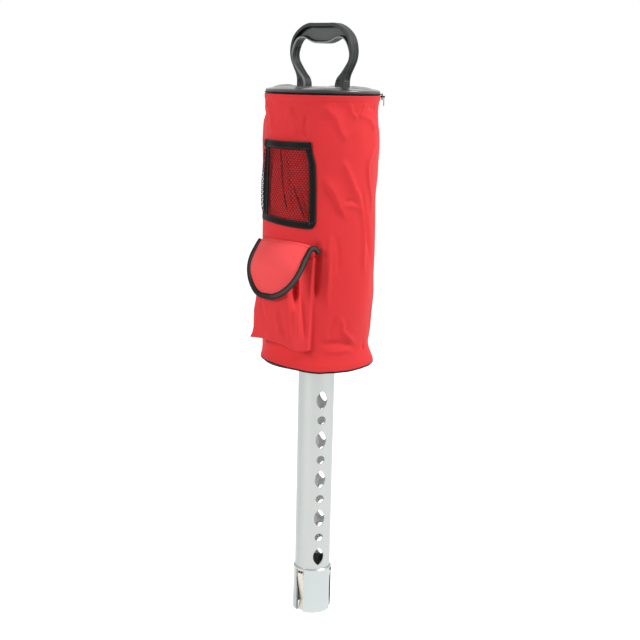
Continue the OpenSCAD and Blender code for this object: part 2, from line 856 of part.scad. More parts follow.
net_margin = 4;
cell_w = sqrt(3) * net_side;
cell_h = 1.5 * net_side;
net_cols = floor((mesh_w - 2 * net_margin) / cell_w - 0.5);
net_rows = floor((mesh_h - 2 * net_margin - net_side / 2) / cell_h);
net_x0 = (mesh_w - (net_cols + 0.5) * cell_w) / 2;
net_y0 = (mesh_h - net_rows * cell_h) / 2;
line_len = 2 * net_cols + 2;
hole_scale = 1 - strand_w / (sqrt(3) * net_side);

// Corner i on zigzag line j of the honeycomb, flat, from the pocket's lower left
function comb_corner(j, i) = [net_x0 + i * cell_w / 2,
    net_y0 + j * cell_h + ((i + j) % 2 == 1 ? -1 : 1) * net_side / 4];
// The six corners of one cell, as [line, corner], anticlockwise from the lower left
function comb_cell(r, c) = let (i = 2 * c + r % 2)
    [[r, i], [r, i + 1], [r, i + 2], [r + 1, i + 2], [r + 1, i + 1], [r + 1, i]];

module mesh_panel() {
    corners = [for (j = [0:net_rows]) for (i = [0:line_len - 1]) comb_corner(j, i)];
    holes = [for (r = [0:net_rows - 1]) for (c = [0:net_cols - 1])
        let (cell = [for (q = comb_cell(r, c)) comb_corner(q[0], q[1])],
            centre = (cell[0] + cell[3]) / 2)
        each [for (p = cell) centre + (p - centre) * hole_scale]];
    flat = concat(corners, holes);
    count = len(flat);
    hole_start = len(corners);
    points = concat(
        [for (p = flat) mesh_point(p[0] / mesh_w, p[1] / mesh_h, strand_t)],
        [for (p = flat) mesh_point(p[0] / mesh_w, p[1] / mesh_h, 0)]);
    faces = [for (r = [0:net_rows - 1]) for (c = [0:net_cols - 1])
        let (cell = comb_cell(r, c), h0 = hole_start + 6 * (r * net_cols + c), odd = r % 2,
            edge = [r == 0 || (odd == 0 && c == 0), r == 0 || (odd == 1 && c == net_cols - 1),
                c == net_cols - 1, r == net_rows - 1 || (odd == 1 && c == net_cols - 1),
                r == net_rows - 1 || (odd == 0 && c == 0), c == 0])
        each [for (k = [0:5]) let (n = (k + 1) % 6,
            a = cell[k][0] * line_len + cell[k][1], b = cell[n][0] * line_len + cell[n][1],
            p = h0 + k, q = h0 + n)
            each concat(
                [[a, p, q], [a, q, b], [count + a, count + q, count + p],
                    [count + a, count + b, count + q], [p, count + p, count + q],
                    [p, count + q, q]],
                edge[k] ? [[a, b, count + b], [a, count + b, count + a]] : [])]];
    color("black")
    polyhedron(points = points, faces = faces, convexity = 10);
}

// Tape sewn over the mesh, along a path of pairs of points in the pocket's s and u: the path's
// right-hand edge first, seen from outside
module mesh_tape(path) {
    color("black")
    sheet([for (pair = path) [for (p = pair) mesh_point(p[0], p[1], strand_t + binding_t)]],
        [for (pair = path) [for (p = pair) mesh_point(p[0], p[1], strand_t)]]);
}

module mesh_binding_top() {
    steps = 20;
    mesh_tape([for (i = [0:steps]) let (s = i / steps) [[s, 1 - binding_u], [s, 1]]]);
}

module mesh_binding_frame() {
    steps = 14;
    top = 1 - binding_u;
    left = [for (i = [0:steps]) let (t = i / steps) [[0, top * (1 - t)],
        [binding_s, lerp(top, binding_u, t)]]];
    low = [for (i = [1:steps]) let (t = i / steps) [[t, 0],
        [lerp(binding_s, 1 - binding_s, t), binding_u]]];
    right = [for (i = [1:steps]) let (t = i / steps) [[1, top * t],
        [1 - binding_s, lerp(binding_u, top, t)]]];
    mesh_tape(concat(left, low, right));
}

// ---- flap pocket ----

// How far the pocket's curved front lies behind its middle, at x
function front_sag(x) = x * x / (2 * front_arc_r);

// The pocket's outline from above, from its seams on the bag to its rounded front
module pocket_plan(inset) {
    corner = pocket_corner - inset;
    corner_x = pocket_half_w - pocket_corner;
    steps = 12;
    hull() {
        for (side = [-1, 1])
            translate([side * corner_x, front_sag(corner_x) + pocket_corner - pocket_y])
                circle(r = corner, $fn = 32);
        polygon([for (i = [0:steps]) let (x = corner_x * (2 * i / steps - 1))
            [x, front_sag(x) + inset - pocket_y]]);
        translate([inset - pocket_seam_half_w, -pocket_back_y])
            square([2 * (pocket_seam_half_w - inset), eps]);
    }
}

// The pocket's outline from the side: its floor drops and its top edge climbs towards the bag
module pocket_side(inset) {
    seam_y = sqrt(pow(bag_r, 2) - pow(pocket_seam_half_w, 2));
    reach = pocket_y - seam_y;
    function side_z(front_z, seam_z, y) = lerp(front_z, seam_z, (pocket_y - y) / reach);
    floor_z = base_z + pocket_floor_z + inset;
    top_z = base_z + (inset > 0 ? cut : 0);
    function floor_at(y) = [-y, side_z(floor_z, floor_z - pocket_floor_drop, y)];
    function top_at(y) = [-y, top_z + side_z(pocket_front_z, pocket_back_z, y)];
    polygon([floor_at(pocket_y + cut), floor_at(pocket_back_y), top_at(pocket_back_y),
        top_at(pocket_y + cut)]);
}

module pocket_block(inset) {
    intersection() {
        translate([0, 0, base_z])
            linear_extrude(height = bag_h / 2)
                pocket_plan(inset);
        rotate([90, 0, 90])
            translate([0, 0, -bag_r])
                linear_extrude(height = 2 * bag_r)
                    pocket_side(inset);
    }
}

module pocket_shell() {
    color("crimson")
    difference() {
        pocket_block(0);
        pocket_block(pocket_t);
        bag_solid(fit_gap);
    }
}

// Half width of the flap at share b of its drop
function flap_half(b) = b < 0.5
    ? lerp(flap_root_half_w, flap_half_w, sin(180 * b))
    : flap_half_w * sqrt(max(1 - pow((b - 0.5) / 0.5, 2.4), 0));

// The flap's inner face at x, at share b of its drop: from the curved seam out over the pocket
flap_front_y = pocket_y + 2 * patch_t + flap_gap + 2 * fit_gap;
flap_lip = 3;
flap_ear_drop = 10;
flap_tape_share = 0.03;
flap_end_share = 0.985;
function flap_seam_y(x) = sqrt(pow(bag_r + flap_gap, 2) - x * x);
function flap_front(x) = flap_front_y - front_sag(x);
function flap_out(b) = b < 0.4 ? sin(90 * b / 0.4) : 1;
function flap_inner(x, b) = [x, -lerp(flap_seam_y(x), flap_front(x), flap_out(b))
    - flap_lip * pow(max(b - 0.6, 0) / 0.4, 2),
    hinge_z - flap_drop * b - flap_ear_drop * pow(abs(x) / flap_half_w, 3) * (1 - b)];
function flap_point(a, b, lift) = let (x = a * flap_half(b), p = flap_inner(x, b),
    q = flap_inner(x, b + 0.02), dy = q[1] - p[1], dz = q[2] - p[2], n = norm([dy, dz]))
    p + lift * [0, dz / n, -dy / n];

module pocket_flap() {
    rows = 12;
    cols = 16;
    color("tomato")
    sheet([for (i = [0:rows]) [for (j = [0:cols])
            flap_point(2 * j / cols - 1, flap_end_share * i / rows, flap_t)]],
        [for (i = [0:rows]) [for (j = [0:cols])
            flap_point(2 * j / cols - 1, flap_end_share * i / rows, 0)]]);
}

// Tube of radius r along a path of points, with a cap at each end
module tube_along(path, r, sides) {
    last = len(path) - 1;
    function along(i) = let (d = path[min(i + 1, last)] - path[max(i - 1, 0)]) d / norm(d);
    function side(i) = let (s = cross(along(i), [0, 1, 0])) s / norm(s);
    rings = [for (i = [0:last]) let (u = side(i), v = cross(along(i), u))
        each [for (k = [0:sides - 1]) let (a = 360 * k / sides)
            path[i] + r * (u * cos(a) + v * sin(a))]];
    faces = concat([[for (k = [0:sides - 1]) k]],
        [[for (k = [sides - 1:-1:0]) last * sides + k]],
        [for (i = [0:last - 1]) for (k = [0:sides - 1])
            let (a = i * sides + k, b = i * sides + (k + 1) % sides)
            each [[a, a + sides, b + sides], [a, b + sides, b]]]);
    polyhedron(points = rings, faces = faces, convexity = 6);
}

module flap_binding() {
    steps = 14;
    down = [for (i = [0:steps])
        flap_point(1, lerp(flap_tape_share, flap_end_share, i / steps), flap_t / 2)];
    up = [for (i = [steps:-1:0]) [-down[i][0], down[i][1], down[i][2]]];
    color("black")
    tube_along(concat(down, up), flap_binding_r, 10);
}

// Patch on the curved front of the pocket, or on the flap's inner face over it
patch_inset = 8;
patch_top = base_z + pocket_front_z - patch_inset;
module patch(y0) {
    steps = 8;
    function face(y) = [for (k = [0, 1]) [for (i = [0:steps]) let (x = patch_w * (i / steps - 0.5))
        [x, front_sag(x) - y, patch_top - k * patch_h]]];
    sheet(face(y0 + patch_t), face(y0));
}

module hook_patch() {
    color("black")
    patch(flap_front_y - patch_t - fit_gap);
}

module loop_patch() {
    color("black")
    patch(pocket_y + fit_gap);
}

pickup_tube();
mouth_collar();
leaf_spring_1();
leaf_spring_2();
leaf_spring_3();
spring_rivets();
top_socket();
socket_screws();
handle();
handle_screws();
lid_panel();
lid_piping();
zip_tape_upper();
zip_teeth();
zip_tape_lower();
zip_slider();
zip_pull();
bag_body();
base_panel();
base_board();
base_piping();
base_ring();
base_screws();
base_rivets();
mesh_panel();
mesh_binding_top();
mesh_binding_frame();
pocket_shell();
pocket_flap();
flap_binding();
hook_patch();
loop_patch();
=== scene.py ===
"""Golf ball pick-up bag: cloth bag, net, zip, lid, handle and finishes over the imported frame."""

import math

import bmesh
import bpy
import numpy as np
from bpy.props import FloatProperty, FloatVectorProperty, PointerProperty
from mathutils import Matrix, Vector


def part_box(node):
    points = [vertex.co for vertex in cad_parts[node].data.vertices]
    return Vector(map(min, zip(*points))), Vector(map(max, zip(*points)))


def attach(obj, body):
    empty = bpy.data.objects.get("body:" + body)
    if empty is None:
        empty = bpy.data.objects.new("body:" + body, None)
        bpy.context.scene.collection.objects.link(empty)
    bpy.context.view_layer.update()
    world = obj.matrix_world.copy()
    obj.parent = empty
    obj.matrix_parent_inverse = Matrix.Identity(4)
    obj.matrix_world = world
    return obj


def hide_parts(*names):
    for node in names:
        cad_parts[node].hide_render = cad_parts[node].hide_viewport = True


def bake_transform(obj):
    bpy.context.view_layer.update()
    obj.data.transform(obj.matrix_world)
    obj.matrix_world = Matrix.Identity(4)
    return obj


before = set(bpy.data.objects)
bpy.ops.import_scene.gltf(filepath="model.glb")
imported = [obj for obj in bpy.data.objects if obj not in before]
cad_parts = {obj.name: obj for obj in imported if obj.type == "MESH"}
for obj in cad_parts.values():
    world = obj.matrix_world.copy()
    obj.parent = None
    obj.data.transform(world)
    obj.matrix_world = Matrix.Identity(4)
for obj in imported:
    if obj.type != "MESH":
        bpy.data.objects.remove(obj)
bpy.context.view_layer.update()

bl_info = {
    "name": "Ball pick-up bag",
    "version": (1, 0),
    "blender": (4, 5, 0),
    "location": "3D View > Sidebar > Ball Bag",
    "description": "Cloth, net, zip, lid, handle and finishes of a ball pick-up bag",
    "category": "Add Mesh",
}

# ---- sizes in millimetres, from the frame's own boxes ----
MM = 0.001


def span(node):
    """A node's lowest and highest corners, in millimetres."""
    low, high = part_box(node)
    return np.array(low) / MM, np.array(high) / MM


BASE_Z = span("bag_body")[0][2]
(_, _, SKIRT_Z), (LID_R, _, SOLE_Z) = span("lid_panel")
HEM_Z = SKIRT_Z - 0.5
NET_Z = span("mesh_binding_frame")[0][2]
BAG_R = 77.0
DEGREE = math.radians(BAG_R)  # length round the bag for each degree
POCKET_Y, FRONT_ARC = 99.0, 95.0  # how far out the pocket's front stands, and its radius from above
# Flat directions of the quarter view, 40 degrees round from the front: to its right and into its depth
QUARTER_RIGHT, QUARTER_DEEP = (0.766, 0.643), (-0.643, 0.766)


# ---- meshes from grids of points ----
def joined(*values):
    """Coordinates of any fitting shapes as one array of points."""
    return np.stack(np.broadcast_arrays(*values), -1)


def unit(vectors):
    """Vectors brought to length 1."""
    return vectors / np.maximum(np.linalg.norm(vectors, axis=-1, keepdims=True), 1e-9)


def length_along(path):
    """The length gone at each point of a path."""
    return np.concatenate([[0], np.cumsum(np.linalg.norm(np.diff(path, axis=0), axis=1))])


def grid_quads(rows, cols):
    """The point numbers of each quad of a grid."""
    i, j = np.meshgrid(np.arange(rows - 1), np.arange(cols - 1), indexing="ij")
    return (i * cols + j).reshape(-1, 1) + (0, 1, cols + 1, cols)


class Piece:
    """Gathers grids of points, each a surface with two parameters, into one mesh."""
    WELD = 0.0005  # points nearer than this are made one

    def __init__(self):
        self.points, self.corners, self.charts, self.count = [], [], [], 0

    def add(self, points, quads, chart):
        """Adds points, quads of their numbers, and where each quad's corners lie in the flat pattern."""
        self.points.append(points.reshape(-1, 3))
        self.corners.append(quads + self.count)
        self.charts.append(chart.reshape(-1, 2))
        self.count += len(self.points[-1])
        return self

    def grid(self, points, chart=None, flip=False):
        """Adds a surface of points[i, j]. It faces the way of j's direction crossed with i's, or flipped."""
        rows, cols = points.shape[:2]
        quads = grid_quads(rows, cols)[:, ::-1 if flip else 1]
        if chart is None:
            chart = joined(np.arange(cols), np.arange(rows)[:, None])
        return self.add(points, quads, np.asarray(chart, float).reshape(-1, 2)[quads])

    def copies(self, template, quads, centres, axes):
        """Adds one small closed shape many times: template points times axes, set at centres."""
        made = np.einsum("kc,ncd->nkd", template, axes) + centres[:, None]
        faces = quads + (np.arange(len(centres)) * len(template))[:, None, None]
        chart = np.tile(template[quads][..., :2].reshape(-1, 2), (len(centres), 1))
        return self.add(made, faces.reshape(-1, 4), chart)

    def make(self, name, finish, body="root", slot=None, replaces=()):
        """Puts the points into a mesh object, welds its seams and poles and gives it to its body, if any."""
        points, corners = np.concatenate(self.points) * MM, np.concatenate(self.corners)
        mesh = bpy.data.meshes.new(name)
        mesh.vertices.add(len(points))
        mesh.vertices.foreach_set("co", points.ravel())
        mesh.loops.add(corners.size)
        mesh.loops.foreach_set("vertex_index", corners.ravel())
        mesh.polygons.add(len(corners))
        mesh.polygons.foreach_set("loop_start", np.arange(len(corners)) * 4)
        mesh.uv_layers.new(name="Cut")
        mesh.uv_layers["Cut"].data.foreach_set("uv", (np.concatenate(self.charts) * MM).ravel())
        mesh.update(calc_edges=True)
        shape = bmesh.new()
        shape.from_mesh(mesh)
        bmesh.ops.remove_doubles(shape, verts=shape.verts, dist=self.WELD * MM)
        bmesh.ops.dissolve_degenerate(shape, edges=shape.edges, dist=self.WELD * MM)
        shape.to_mesh(mesh)
        shape.free()
        mesh.polygons.foreach_set("use_smooth", np.ones(len(mesh.polygons), bool))
        made = bpy.data.objects.new(name, mesh)
        bpy.context.scene.collection.objects.link(made)
        mesh.materials.append(finish)
        if body:
            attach(made, body)
        if replaces:
            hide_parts(*replaces)
        return made


def around(radius, angle, z):
    """Points round the tube's axis, angle in degrees: 0 is the front, -Y, and it grows towards +X."""
    a = np.radians(angle)
    return joined(radius * np.sin(a), -radius * np.cos(a), z)


def normals(points):
    """Unit normals of a grid of points: the columns' direction across the rows'."""
    return unit(np.cross(np.gradient(points, axis=1), np.gradient(points, axis=0)))


def smooth_curve(keys, count):
    """Catmull-Rom curve through the keys, sampled evenly in its own parameter."""
    keys = np.asarray(keys, float)
    t = np.linspace(0, len(keys) - 1, count)
    i = np.minimum(t.astype(int), len(keys) - 2)
    f = (t - i)[:, None]
    a, b, c, d = keys[np.maximum(i - 1, 0)], keys[i], keys[i + 1], keys[np.minimum(i + 2, len(keys) - 1)]
    return 0.5 * (2 * b + (c - a) * f + (2 * a - 5 * b + 4 * c - d) * f**2 + (3 * b - a - 3 * c + d) * f**3)


def even(path, step):
    """The same path with points every step along it."""
    along = length_along(path)
    marks = np.linspace(0, along[-1], max(int(round(along[-1] / step)), 2) + 1)
    return np.stack([np.interp(marks, along, column) for column in path.T], -1)


def eased(values):
    """0 below 0, 1 above 1, and between them three squares less two cubes, a smooth S."""
    v = np.clip(values, 0, 1)
    return v * v * (3 - 2 * v)


def signed_power(values, power):
    """A power of each value's size, with its own sign."""
    return np.sign(values) * np.abs(values) ** power


def capped(walls, ends=None):
    """Rings closed to a point before the first and after the last: the given ends, or the rings' middles."""
    ends = (walls[0].mean(0), walls[-1].mean(0)) if ends is None else ends
    first, last = (np.repeat(end[None, None], walls.shape[1], 1) for end in ends)
    return np.concatenate([first, walls, last])


def tube(path, radius, side_hint, sides, squash=1.0, square=1.0):
    """Closed tube along a path: a circle, flattened by squash and squared by a power below 1."""
    ahead = unit(np.gradient(path, axis=0))
    side = unit(np.cross(ahead, side_hint))
    a = np.linspace(0, 2 * np.pi, sides + 1)
    u, v = signed_power(np.cos(a), square), signed_power(np.sin(a), square) * squash
    ring = side[:, None] * u[:, None] + np.cross(ahead, side)[:, None] * v[:, None]
    walls = path[:, None] + ring * np.broadcast_to(radius, (len(path),))[:, None, None]
    along = np.pad(length_along(path), 1, "edge")
    return capped(walls, path[[0, -1]]), joined(along[:, None], a * float(np.mean(radius)))


def lathe(section, count=240):
    """A section of radius and height turned round the tube's axis: rows round, columns along it."""
    section = np.asarray(section, float)
    angle = np.linspace(0, 360, count + 1)[:, None]
    return around(section[:, 0], angle, section[:, 1]), joined(angle * DEGREE, length_along(section))


def slab(outer, inner, chart=None, flip=False):
    """Two like grids, one over the other, and the narrow faces between their four edges."""
    piece = Piece().grid(outer, chart, flip).grid(inner, chart, not flip)
    for edge in (0, -1):
        piece.grid(np.stack([outer[edge], inner[edge]]), flip=(edge == 0) != flip)
        piece.grid(np.stack([outer[:, edge], inner[:, edge]]), flip=(edge == -1) != flip)
    return piece


RIM_TURN = np.linspace(0, 360, 361)[:, None]


def rolled_edge(name, finish, node, radius, z, wide, high):
    """A rolled tape round the rim: an ellipse of half width wide and half height high, carried round."""
    a = np.linspace(0, 2 * np.pi, 17)
    points = around(radius + wide * np.cos(a), RIM_TURN, z + high * np.sin(a))
    piece = Piece().grid(points, joined(RIM_TURN * DEGREE, a * wide), flip=True)
    piece.make(name, finish, slot="black_tape", replaces=(node,))


STITCH_LONG, STITCH_GAP, STITCH_R = 2.4, 0.9, 0.42


def stitches(name, paths, finish, slot, body="root"):
    """Rows of stitches pressed into the cloth along their paths. Each is a small pod, whose radius is the
    root of 1 less the cube of the share from its middle to its tip."""
    rings, sides = 5, 6
    t = np.linspace(-1, 1, rings)[:, None]
    a = np.linspace(0, 2 * np.pi, sides + 1)
    bulge = np.sqrt(1 - np.abs(t) ** 3) * STITCH_R
    pod = joined(t * STITCH_LONG / 2, bulge * np.cos(a), bulge * np.sin(a)).reshape(-1, 3)
    piece = Piece()
    for path, outward in paths:
        spots, out = np.split(even(np.concatenate([path, outward], 1), STITCH_LONG + STITCH_GAP), 2, 1)
        ahead = unit(np.gradient(spots, axis=0))
        side = unit(np.cross(out, ahead))
        axes = np.stack([ahead, side, np.cross(ahead, side)], 1)
        piece.copies(pod, grid_quads(rings, sides + 1), spots, axes)
    return piece.make(name, finish, body, slot)


# ---- materials ----
class Link:
    """A node's output. Arithmetic on it adds Math nodes to its material."""

    def __init__(self, finish, socket):
        self.finish, self.socket = finish, socket

    def math(self, operation, *others):
        """A Math node of this output and any others."""
        return self.finish.node("Math", {"operation": operation}, dict(enumerate((self, *others))))

    def __add__(self, other):
        return self.math("ADD", other)

    def __mul__(self, other):
        return self.math("MULTIPLY", other)

    def __rsub__(self, other):
        return self * -1.0 + other

    __radd__, __rmul__ = __add__, __mul__


class Finish:
    """A material or a world being put together: node() adds any node, surface() ends a material."""

    def __init__(self, name, kind="materials"):
        self.material = getattr(bpy.data, kind).new(name)
        self.material.use_nodes = True
        self.tree = self.material.node_tree
        self.tree.nodes.clear()

    def node(self, kind, settings=None, values=None, out=0):
        """Adds a node: its settings first, then the values or links of its sockets."""
        made = self.tree.nodes.new("ShaderNode" + kind)
        for key, value in (settings or {}).items():
            setattr(made, key, value)
        for key, value in (values or {}).items():
            if isinstance(value, Link):
                self.tree.links.new(value.socket, made.inputs[key])
            else:
                made.inputs[key].default_value = value
        return Link(self, made.outputs[out]) if made.outputs else None

    def bare_ray(self):
        """1 for a ray from the camera, or one that mirrors or passes through, and 0 for the rest."""
        kinds = ("Camera", "Glossy", "Transmission")
        seen, mirrored, passed = (self.node("LightPath", out=f"Is {kind} Ray") for kind in kinds)
        return (seen + mirrored + passed).math("MINIMUM", 1.0)

    def place(self, stretch=(1, 1, 1)):
        """Object coordinates, in metres, times a stretch."""
        spot = self.node("TexCoord", out="Object")
        return self.node("VectorMath", {"operation": "MULTIPLY"}, {0: spot, 1: stretch})

    def parts(self, vector, count):
        """The first coordinates of a vector, each a link."""
        return [self.node("SeparateXYZ", None, {0: vector}, k) for k in range(count)]

    def cut(self):
        """The piece's own flat pattern, in metres, as two links: across and along."""
        return self.parts(self.node("UVMap", {"uv_map": "Cut"}), 2)

    def noise(self, scale, detail=3, vector=None):
        """Cloudy noise over the object coordinates or a vector."""
        values = {"Vector": vector or self.place(), "Scale": scale, "Detail": detail}
        return self.node("TexNoise", None, values)

    def between(self, factor, first, second):
        """First to second, each a colour or a link, as factor goes from 0 to 1."""
        ends = (colour if isinstance(colour, Link) else (*colour, 1) for colour in (first, second))
        return self.node("Mix", {"data_type": "RGBA"}, {0: factor, **dict(zip((6, 7), ends))}, 2)

    def bump(self, height, depth, strength):
        """Normals of a relief whose height of 1 is depth metres."""
        return self.node("Bump", None, {"Height": height, "Distance": depth, "Strength": strength})

    def surface(self, **values):
        """Principled surface with the named sockets, underscores for spaces."""
        named = {key.replace("_", " "): value for key, value in values.items()}
        shader = self.node("BsdfPrincipled", None, named)
        self.node("OutputMaterial", None, {"Surface": shader})
        return self.material


def tint(colour, share):
    """A colour made lighter by a share, or darker by a negative one."""
    return tuple(min(max(c * (1 + share), 0), 1) for c in colour)


def cloth_finish(name, colour):
    """Oxford weave: warp and weft waves cross, each thread a little lighter or darker."""
    f = Finish(name)
    across, along = f.cut()
    turns = 2 * math.pi / cloth().thread_pitch
    weave = (across * turns).math("SINE") * (along * turns).math("SINE") * 0.5 + 0.5
    warp, weft = (f.noise(1, 2, f.node("CombineXYZ", None, {0: across * wide, 1: along * high}))
                  for wide, high in ((900, 60), (60, 900)))
    threads = (warp + weft) * 0.5
    share = threads * 0.5 + f.noise(22) * 0.4 + weave * 0.1
    return f.surface(
        Base_Color=f.between(share, tint(colour, -0.14), tint(colour, 0.12)),
        Roughness=0.62 + threads * 0.14,
        Sheen_Weight=0.075,
        Sheen_Roughness=0.45,
        Specular_IOR_Level=0.17,
        Normal=f.bump(weave * 0.6 + threads * 0.8, 0.00012, 0.7),
    )


def tape_finish(name, colour, rib, gloss=0.06, painted_highlight=None):
    """Ribbed binding tape: fine ribs across its length with a fuzzy thread noise. A round tape can have a
    painted highlight: a paler colour on its crown, where it faces the eye, and its own dark colour at its
    edges."""
    f = Finish(name)
    ribs = (f.cut()[0] * (2 * math.pi / rib)).math("SINE") * 0.5 + 0.5
    fuzz = f.noise(1800, 2)
    face = f.between(ribs * 0.6 + fuzz * 0.4, tint(colour, -0.3), tint(colour, 0.5))
    # Painted highlight: paler where the tape faces the eye
    if painted_highlight:
        edge = f.node("LayerWeight", None, {"Blend": 0.5}, "Facing")
        face = f.between((edge * 3.2).math("MINIMUM", 1.0), painted_highlight, face)
    return f.surface(
        Base_Color=face,
        Roughness=0.4 + fuzz * 0.16,
        Specular_IOR_Level=gloss,
        Normal=f.bump(ribs + fuzz * 0.4, 0.0001, 0.6),
    )


def vinyl_finish(name, colour, skirt, painted_light=0.0):
    """Coated cloth: small pebble grain with worn, shinier high spots. Below the height skirt, in metres, it
    is matt, and its last argument paints a sheen: paler towards the two sides of the quarter view, a painted
    reflection."""
    f = Finish(name)
    grain = f.node("TexVoronoi", {"feature": "SMOOTH_F1"},
                   {"Vector": f.place(), "Scale": 1100, "Smoothness": 0.6})
    wear = f.noise(60, 4)
    x, y, height = f.parts(f.place(), 3)
    matt = height.math("LESS_THAN", skirt)
    face = f.between(wear, tint(colour, -0.25), tint(colour, 0.35))
    if painted_light:
        # Painted sheen: the lid turns paler towards the two sides of the quarter view, standing in for the
        # light it reflects there
        aside = x * QUARTER_RIGHT[0] + y * QUARTER_RIGHT[1]
        painted_sheen_share = aside * aside * painted_light * (wear * 0.6 + 0.7)
        face = f.between(painted_sheen_share.math("MINIMUM", 1.0), face, (0.115, 0.113, 0.108))
    return f.surface(
        Base_Color=face,
        Roughness=0.2 + wear * 0.2 + matt * 0.4,
        Coat_Weight=0.35 - matt * 0.35,
        Coat_Roughness=0.1,
        Normal=f.bump(grain * 0.2 + wear * 0.9, 0.0006, 0.35),
    )


def moulded_finish(name, colour, rough, grain=0.00003, gloss=0.5):
    """Moulded plastic: faint flow marks in the gloss and a fine even grain."""
    f = Finish(name)
    flow, fine = f.noise(70, 4), f.noise(2600, 2)
    return f.surface(
        Base_Color=f.between(flow, tint(colour, -0.12), tint(colour, 0.12)),
        Roughness=rough - 0.06 + flow * 0.12,
        Specular_IOR_Level=gloss,
        Normal=f.bump(fine + flow * 0.5, grain, 0.6),
    )


def handle_finish(colour):
    """Glossy moulding. The flat pattern marks its sunk grip web, matt and painted paler as a painted
    reflection, and a painted highlight along an edge, and below 0 painted shade on the walls round the web."""
    f = Finish("handle_plastic")
    web, painted_light = f.cut()
    flow, fine = f.noise(70, 4), f.noise(2600, 2)
    face = f.between(flow, tint(colour, -0.15), tint(colour, 0.15))
    # Painted highlight: a pale line where the second value is above 0
    face = f.between(painted_light, face, (0.36, 0.38, 0.36))
    # Painted shade: near black on the web's walls, where the second value is below 0
    face = f.between(painted_light * -1.0, face, (0.001, 0.001, 0.001))
    # The web's paler colour is a painted reflection
    painted_pale_web = f.between(fine, (0.105, 0.113, 0.108), (0.125, 0.134, 0.129))
    return f.surface(
        Base_Color=f.between(web, face, painted_pale_web),
        Roughness=web * 0.2 + 0.4 + flow * 0.12,
        Specular_IOR_Level=0.22,
        Normal=f.bump(fine + flow * 0.5, 0.00003, 0.6),
    )


SHOULDER_Z = 0.0705  # height of the shoulder inside the mouth, in metres


def metal_finish(name, colour, rough, stretch, bore=0.0):
    """Metal with drawn or turned marks: noise stretched along the way the tool went. Nearer the axis than
    bore, in metres, the inside is matt and pale, and dark below the mouth's shoulder."""
    f = Finish(name)
    lines, haze = f.noise(1, 3, f.place(stretch)), f.noise(30, 4)
    face = f.between(lines * 0.6 + haze * 0.4, tint(colour, -0.06), tint(colour, 0.05))
    metal = 1.0
    if bore:
        x, y, z = f.parts(f.place(), 3)
        inside = (x * x + y * y).math("LESS_THAN", bore**2)
        wall = f.between(z.math("LESS_THAN", SHOULDER_Z), (0.93, 0.94, 0.94), (0.1, 0.11, 0.11))
        face = f.between(inside, face, wall)
        metal = 1.0 - inside
    return f.surface(
        Base_Color=face,
        Metallic=metal,
        Roughness=rough - 0.05 + haze * 0.06 + lines * 0.05,
        Normal=f.bump(lines, 0.00001, 0.5),
    )


def fluff_finish(name, colour):
    """Hook or loop tape: a dense curly nap."""
    f = Finish(name)
    nap = f.node("TexVoronoi", None, {"Vector": f.place(), "Scale": 1300})
    return f.surface(
        Base_Color=f.between(nap, tint(colour, 0.6), tint(colour, -0.4)),
        Roughness=0.9 - nap * 0.1,
        Normal=f.bump(nap, 0.0004, 0.8),
    )


def finish_nodes(finish, *nodes):
    """Gives CAD nodes a finish, leaving their shape alone."""
    for node in nodes:
        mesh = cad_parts[node].data
        for k in range(len(mesh.materials)):
            mesh.materials[k] = finish
        if not mesh.materials:
            mesh.materials.append(finish)


# ---- settings ----
def colour_setting(name, used_for, default):
    """A colour that a user can change."""
    return FloatVectorProperty(name=name, description="Colour of " + used_for, subtype="COLOR",
                               min=0, max=1, default=default)


def length_setting(name, description, low, high, default):
    """A length that a user can change, in metres."""
    return FloatProperty(name=name, description=description, unit="LENGTH", min=low, max=high,
                         default=default, precision=5)


class ClothSettings(bpy.types.PropertyGroup):
    """Red cloth of the bag, its pocket and its flap."""
    colour: colour_setting("Bag cloth", "the bag", (0.73, 0.034, 0.038))
    # The flap's colour is lighter than the bag's, partly its own tone and partly painted light for the light
    # on it; the pocket's is a little lighter as painted light for the light on its front
    flap_colour: colour_setting("Flap cloth", "the pocket's flap", (0.9, 0.082, 0.086))
    pocket_colour: colour_setting("Pocket cloth", "the pocket under the flap", (0.74, 0.038, 0.042))
    thread_pitch: length_setting(
        "Thread pitch", "Distance between two threads of the weave", 0.0002, 0.002, 0.0007)
    fold_height: FloatProperty(
        name="Fold height", description="How much of the folds' height is used",
        subtype="FACTOR", min=0, max=3, default=1.6)
    wall: length_setting("Cloth thickness", "Thickness of the cloth wall", 0.0005, 0.002, 0.001)


class TrimSettings(bpy.types.PropertyGroup):
    """Black tapes, net and zip."""
    tape_colour: colour_setting("Tape", "the binding tapes", (0.008, 0.009, 0.008))
    net_colour: colour_setting("Net", "the net's cord", (0.012, 0.009, 0.009))
    net_cell: length_setting("Net opening", "Width of one opening of the net", 0.003, 0.01, 0.0038)
    net_cord: length_setting("Net cord", "Width of the net's cord", 0.0005, 0.002, 0.000615)
    tooth_pitch: length_setting("Tooth pitch", "Distance between two teeth of the zip", 0.001, 0.004, 0.0016)


class HardSettings(bpy.types.PropertyGroup):
    """Lid, handle and metal."""
    lid_colour: colour_setting("Lid", "the lid's coated cloth", (0.014, 0.015, 0.015))
    lid_crease: length_setting("Lid creases", "Height of the creases in the lid", 0, 0.003, 0.0024)
    handle_colour: colour_setting("Handle", "the moulded handle", (0.042, 0.046, 0.044))
    handle_round: length_setting("Handle edge", "Radius of the handle's edges", 0.0005, 0.004, 0.0022)
    tube_colour: colour_setting("Tube", "the satin tube", (0.425, 0.445, 0.435))
    collar_colour: colour_setting("Collar", "the bright collar", (0.43, 0.46, 0.46))


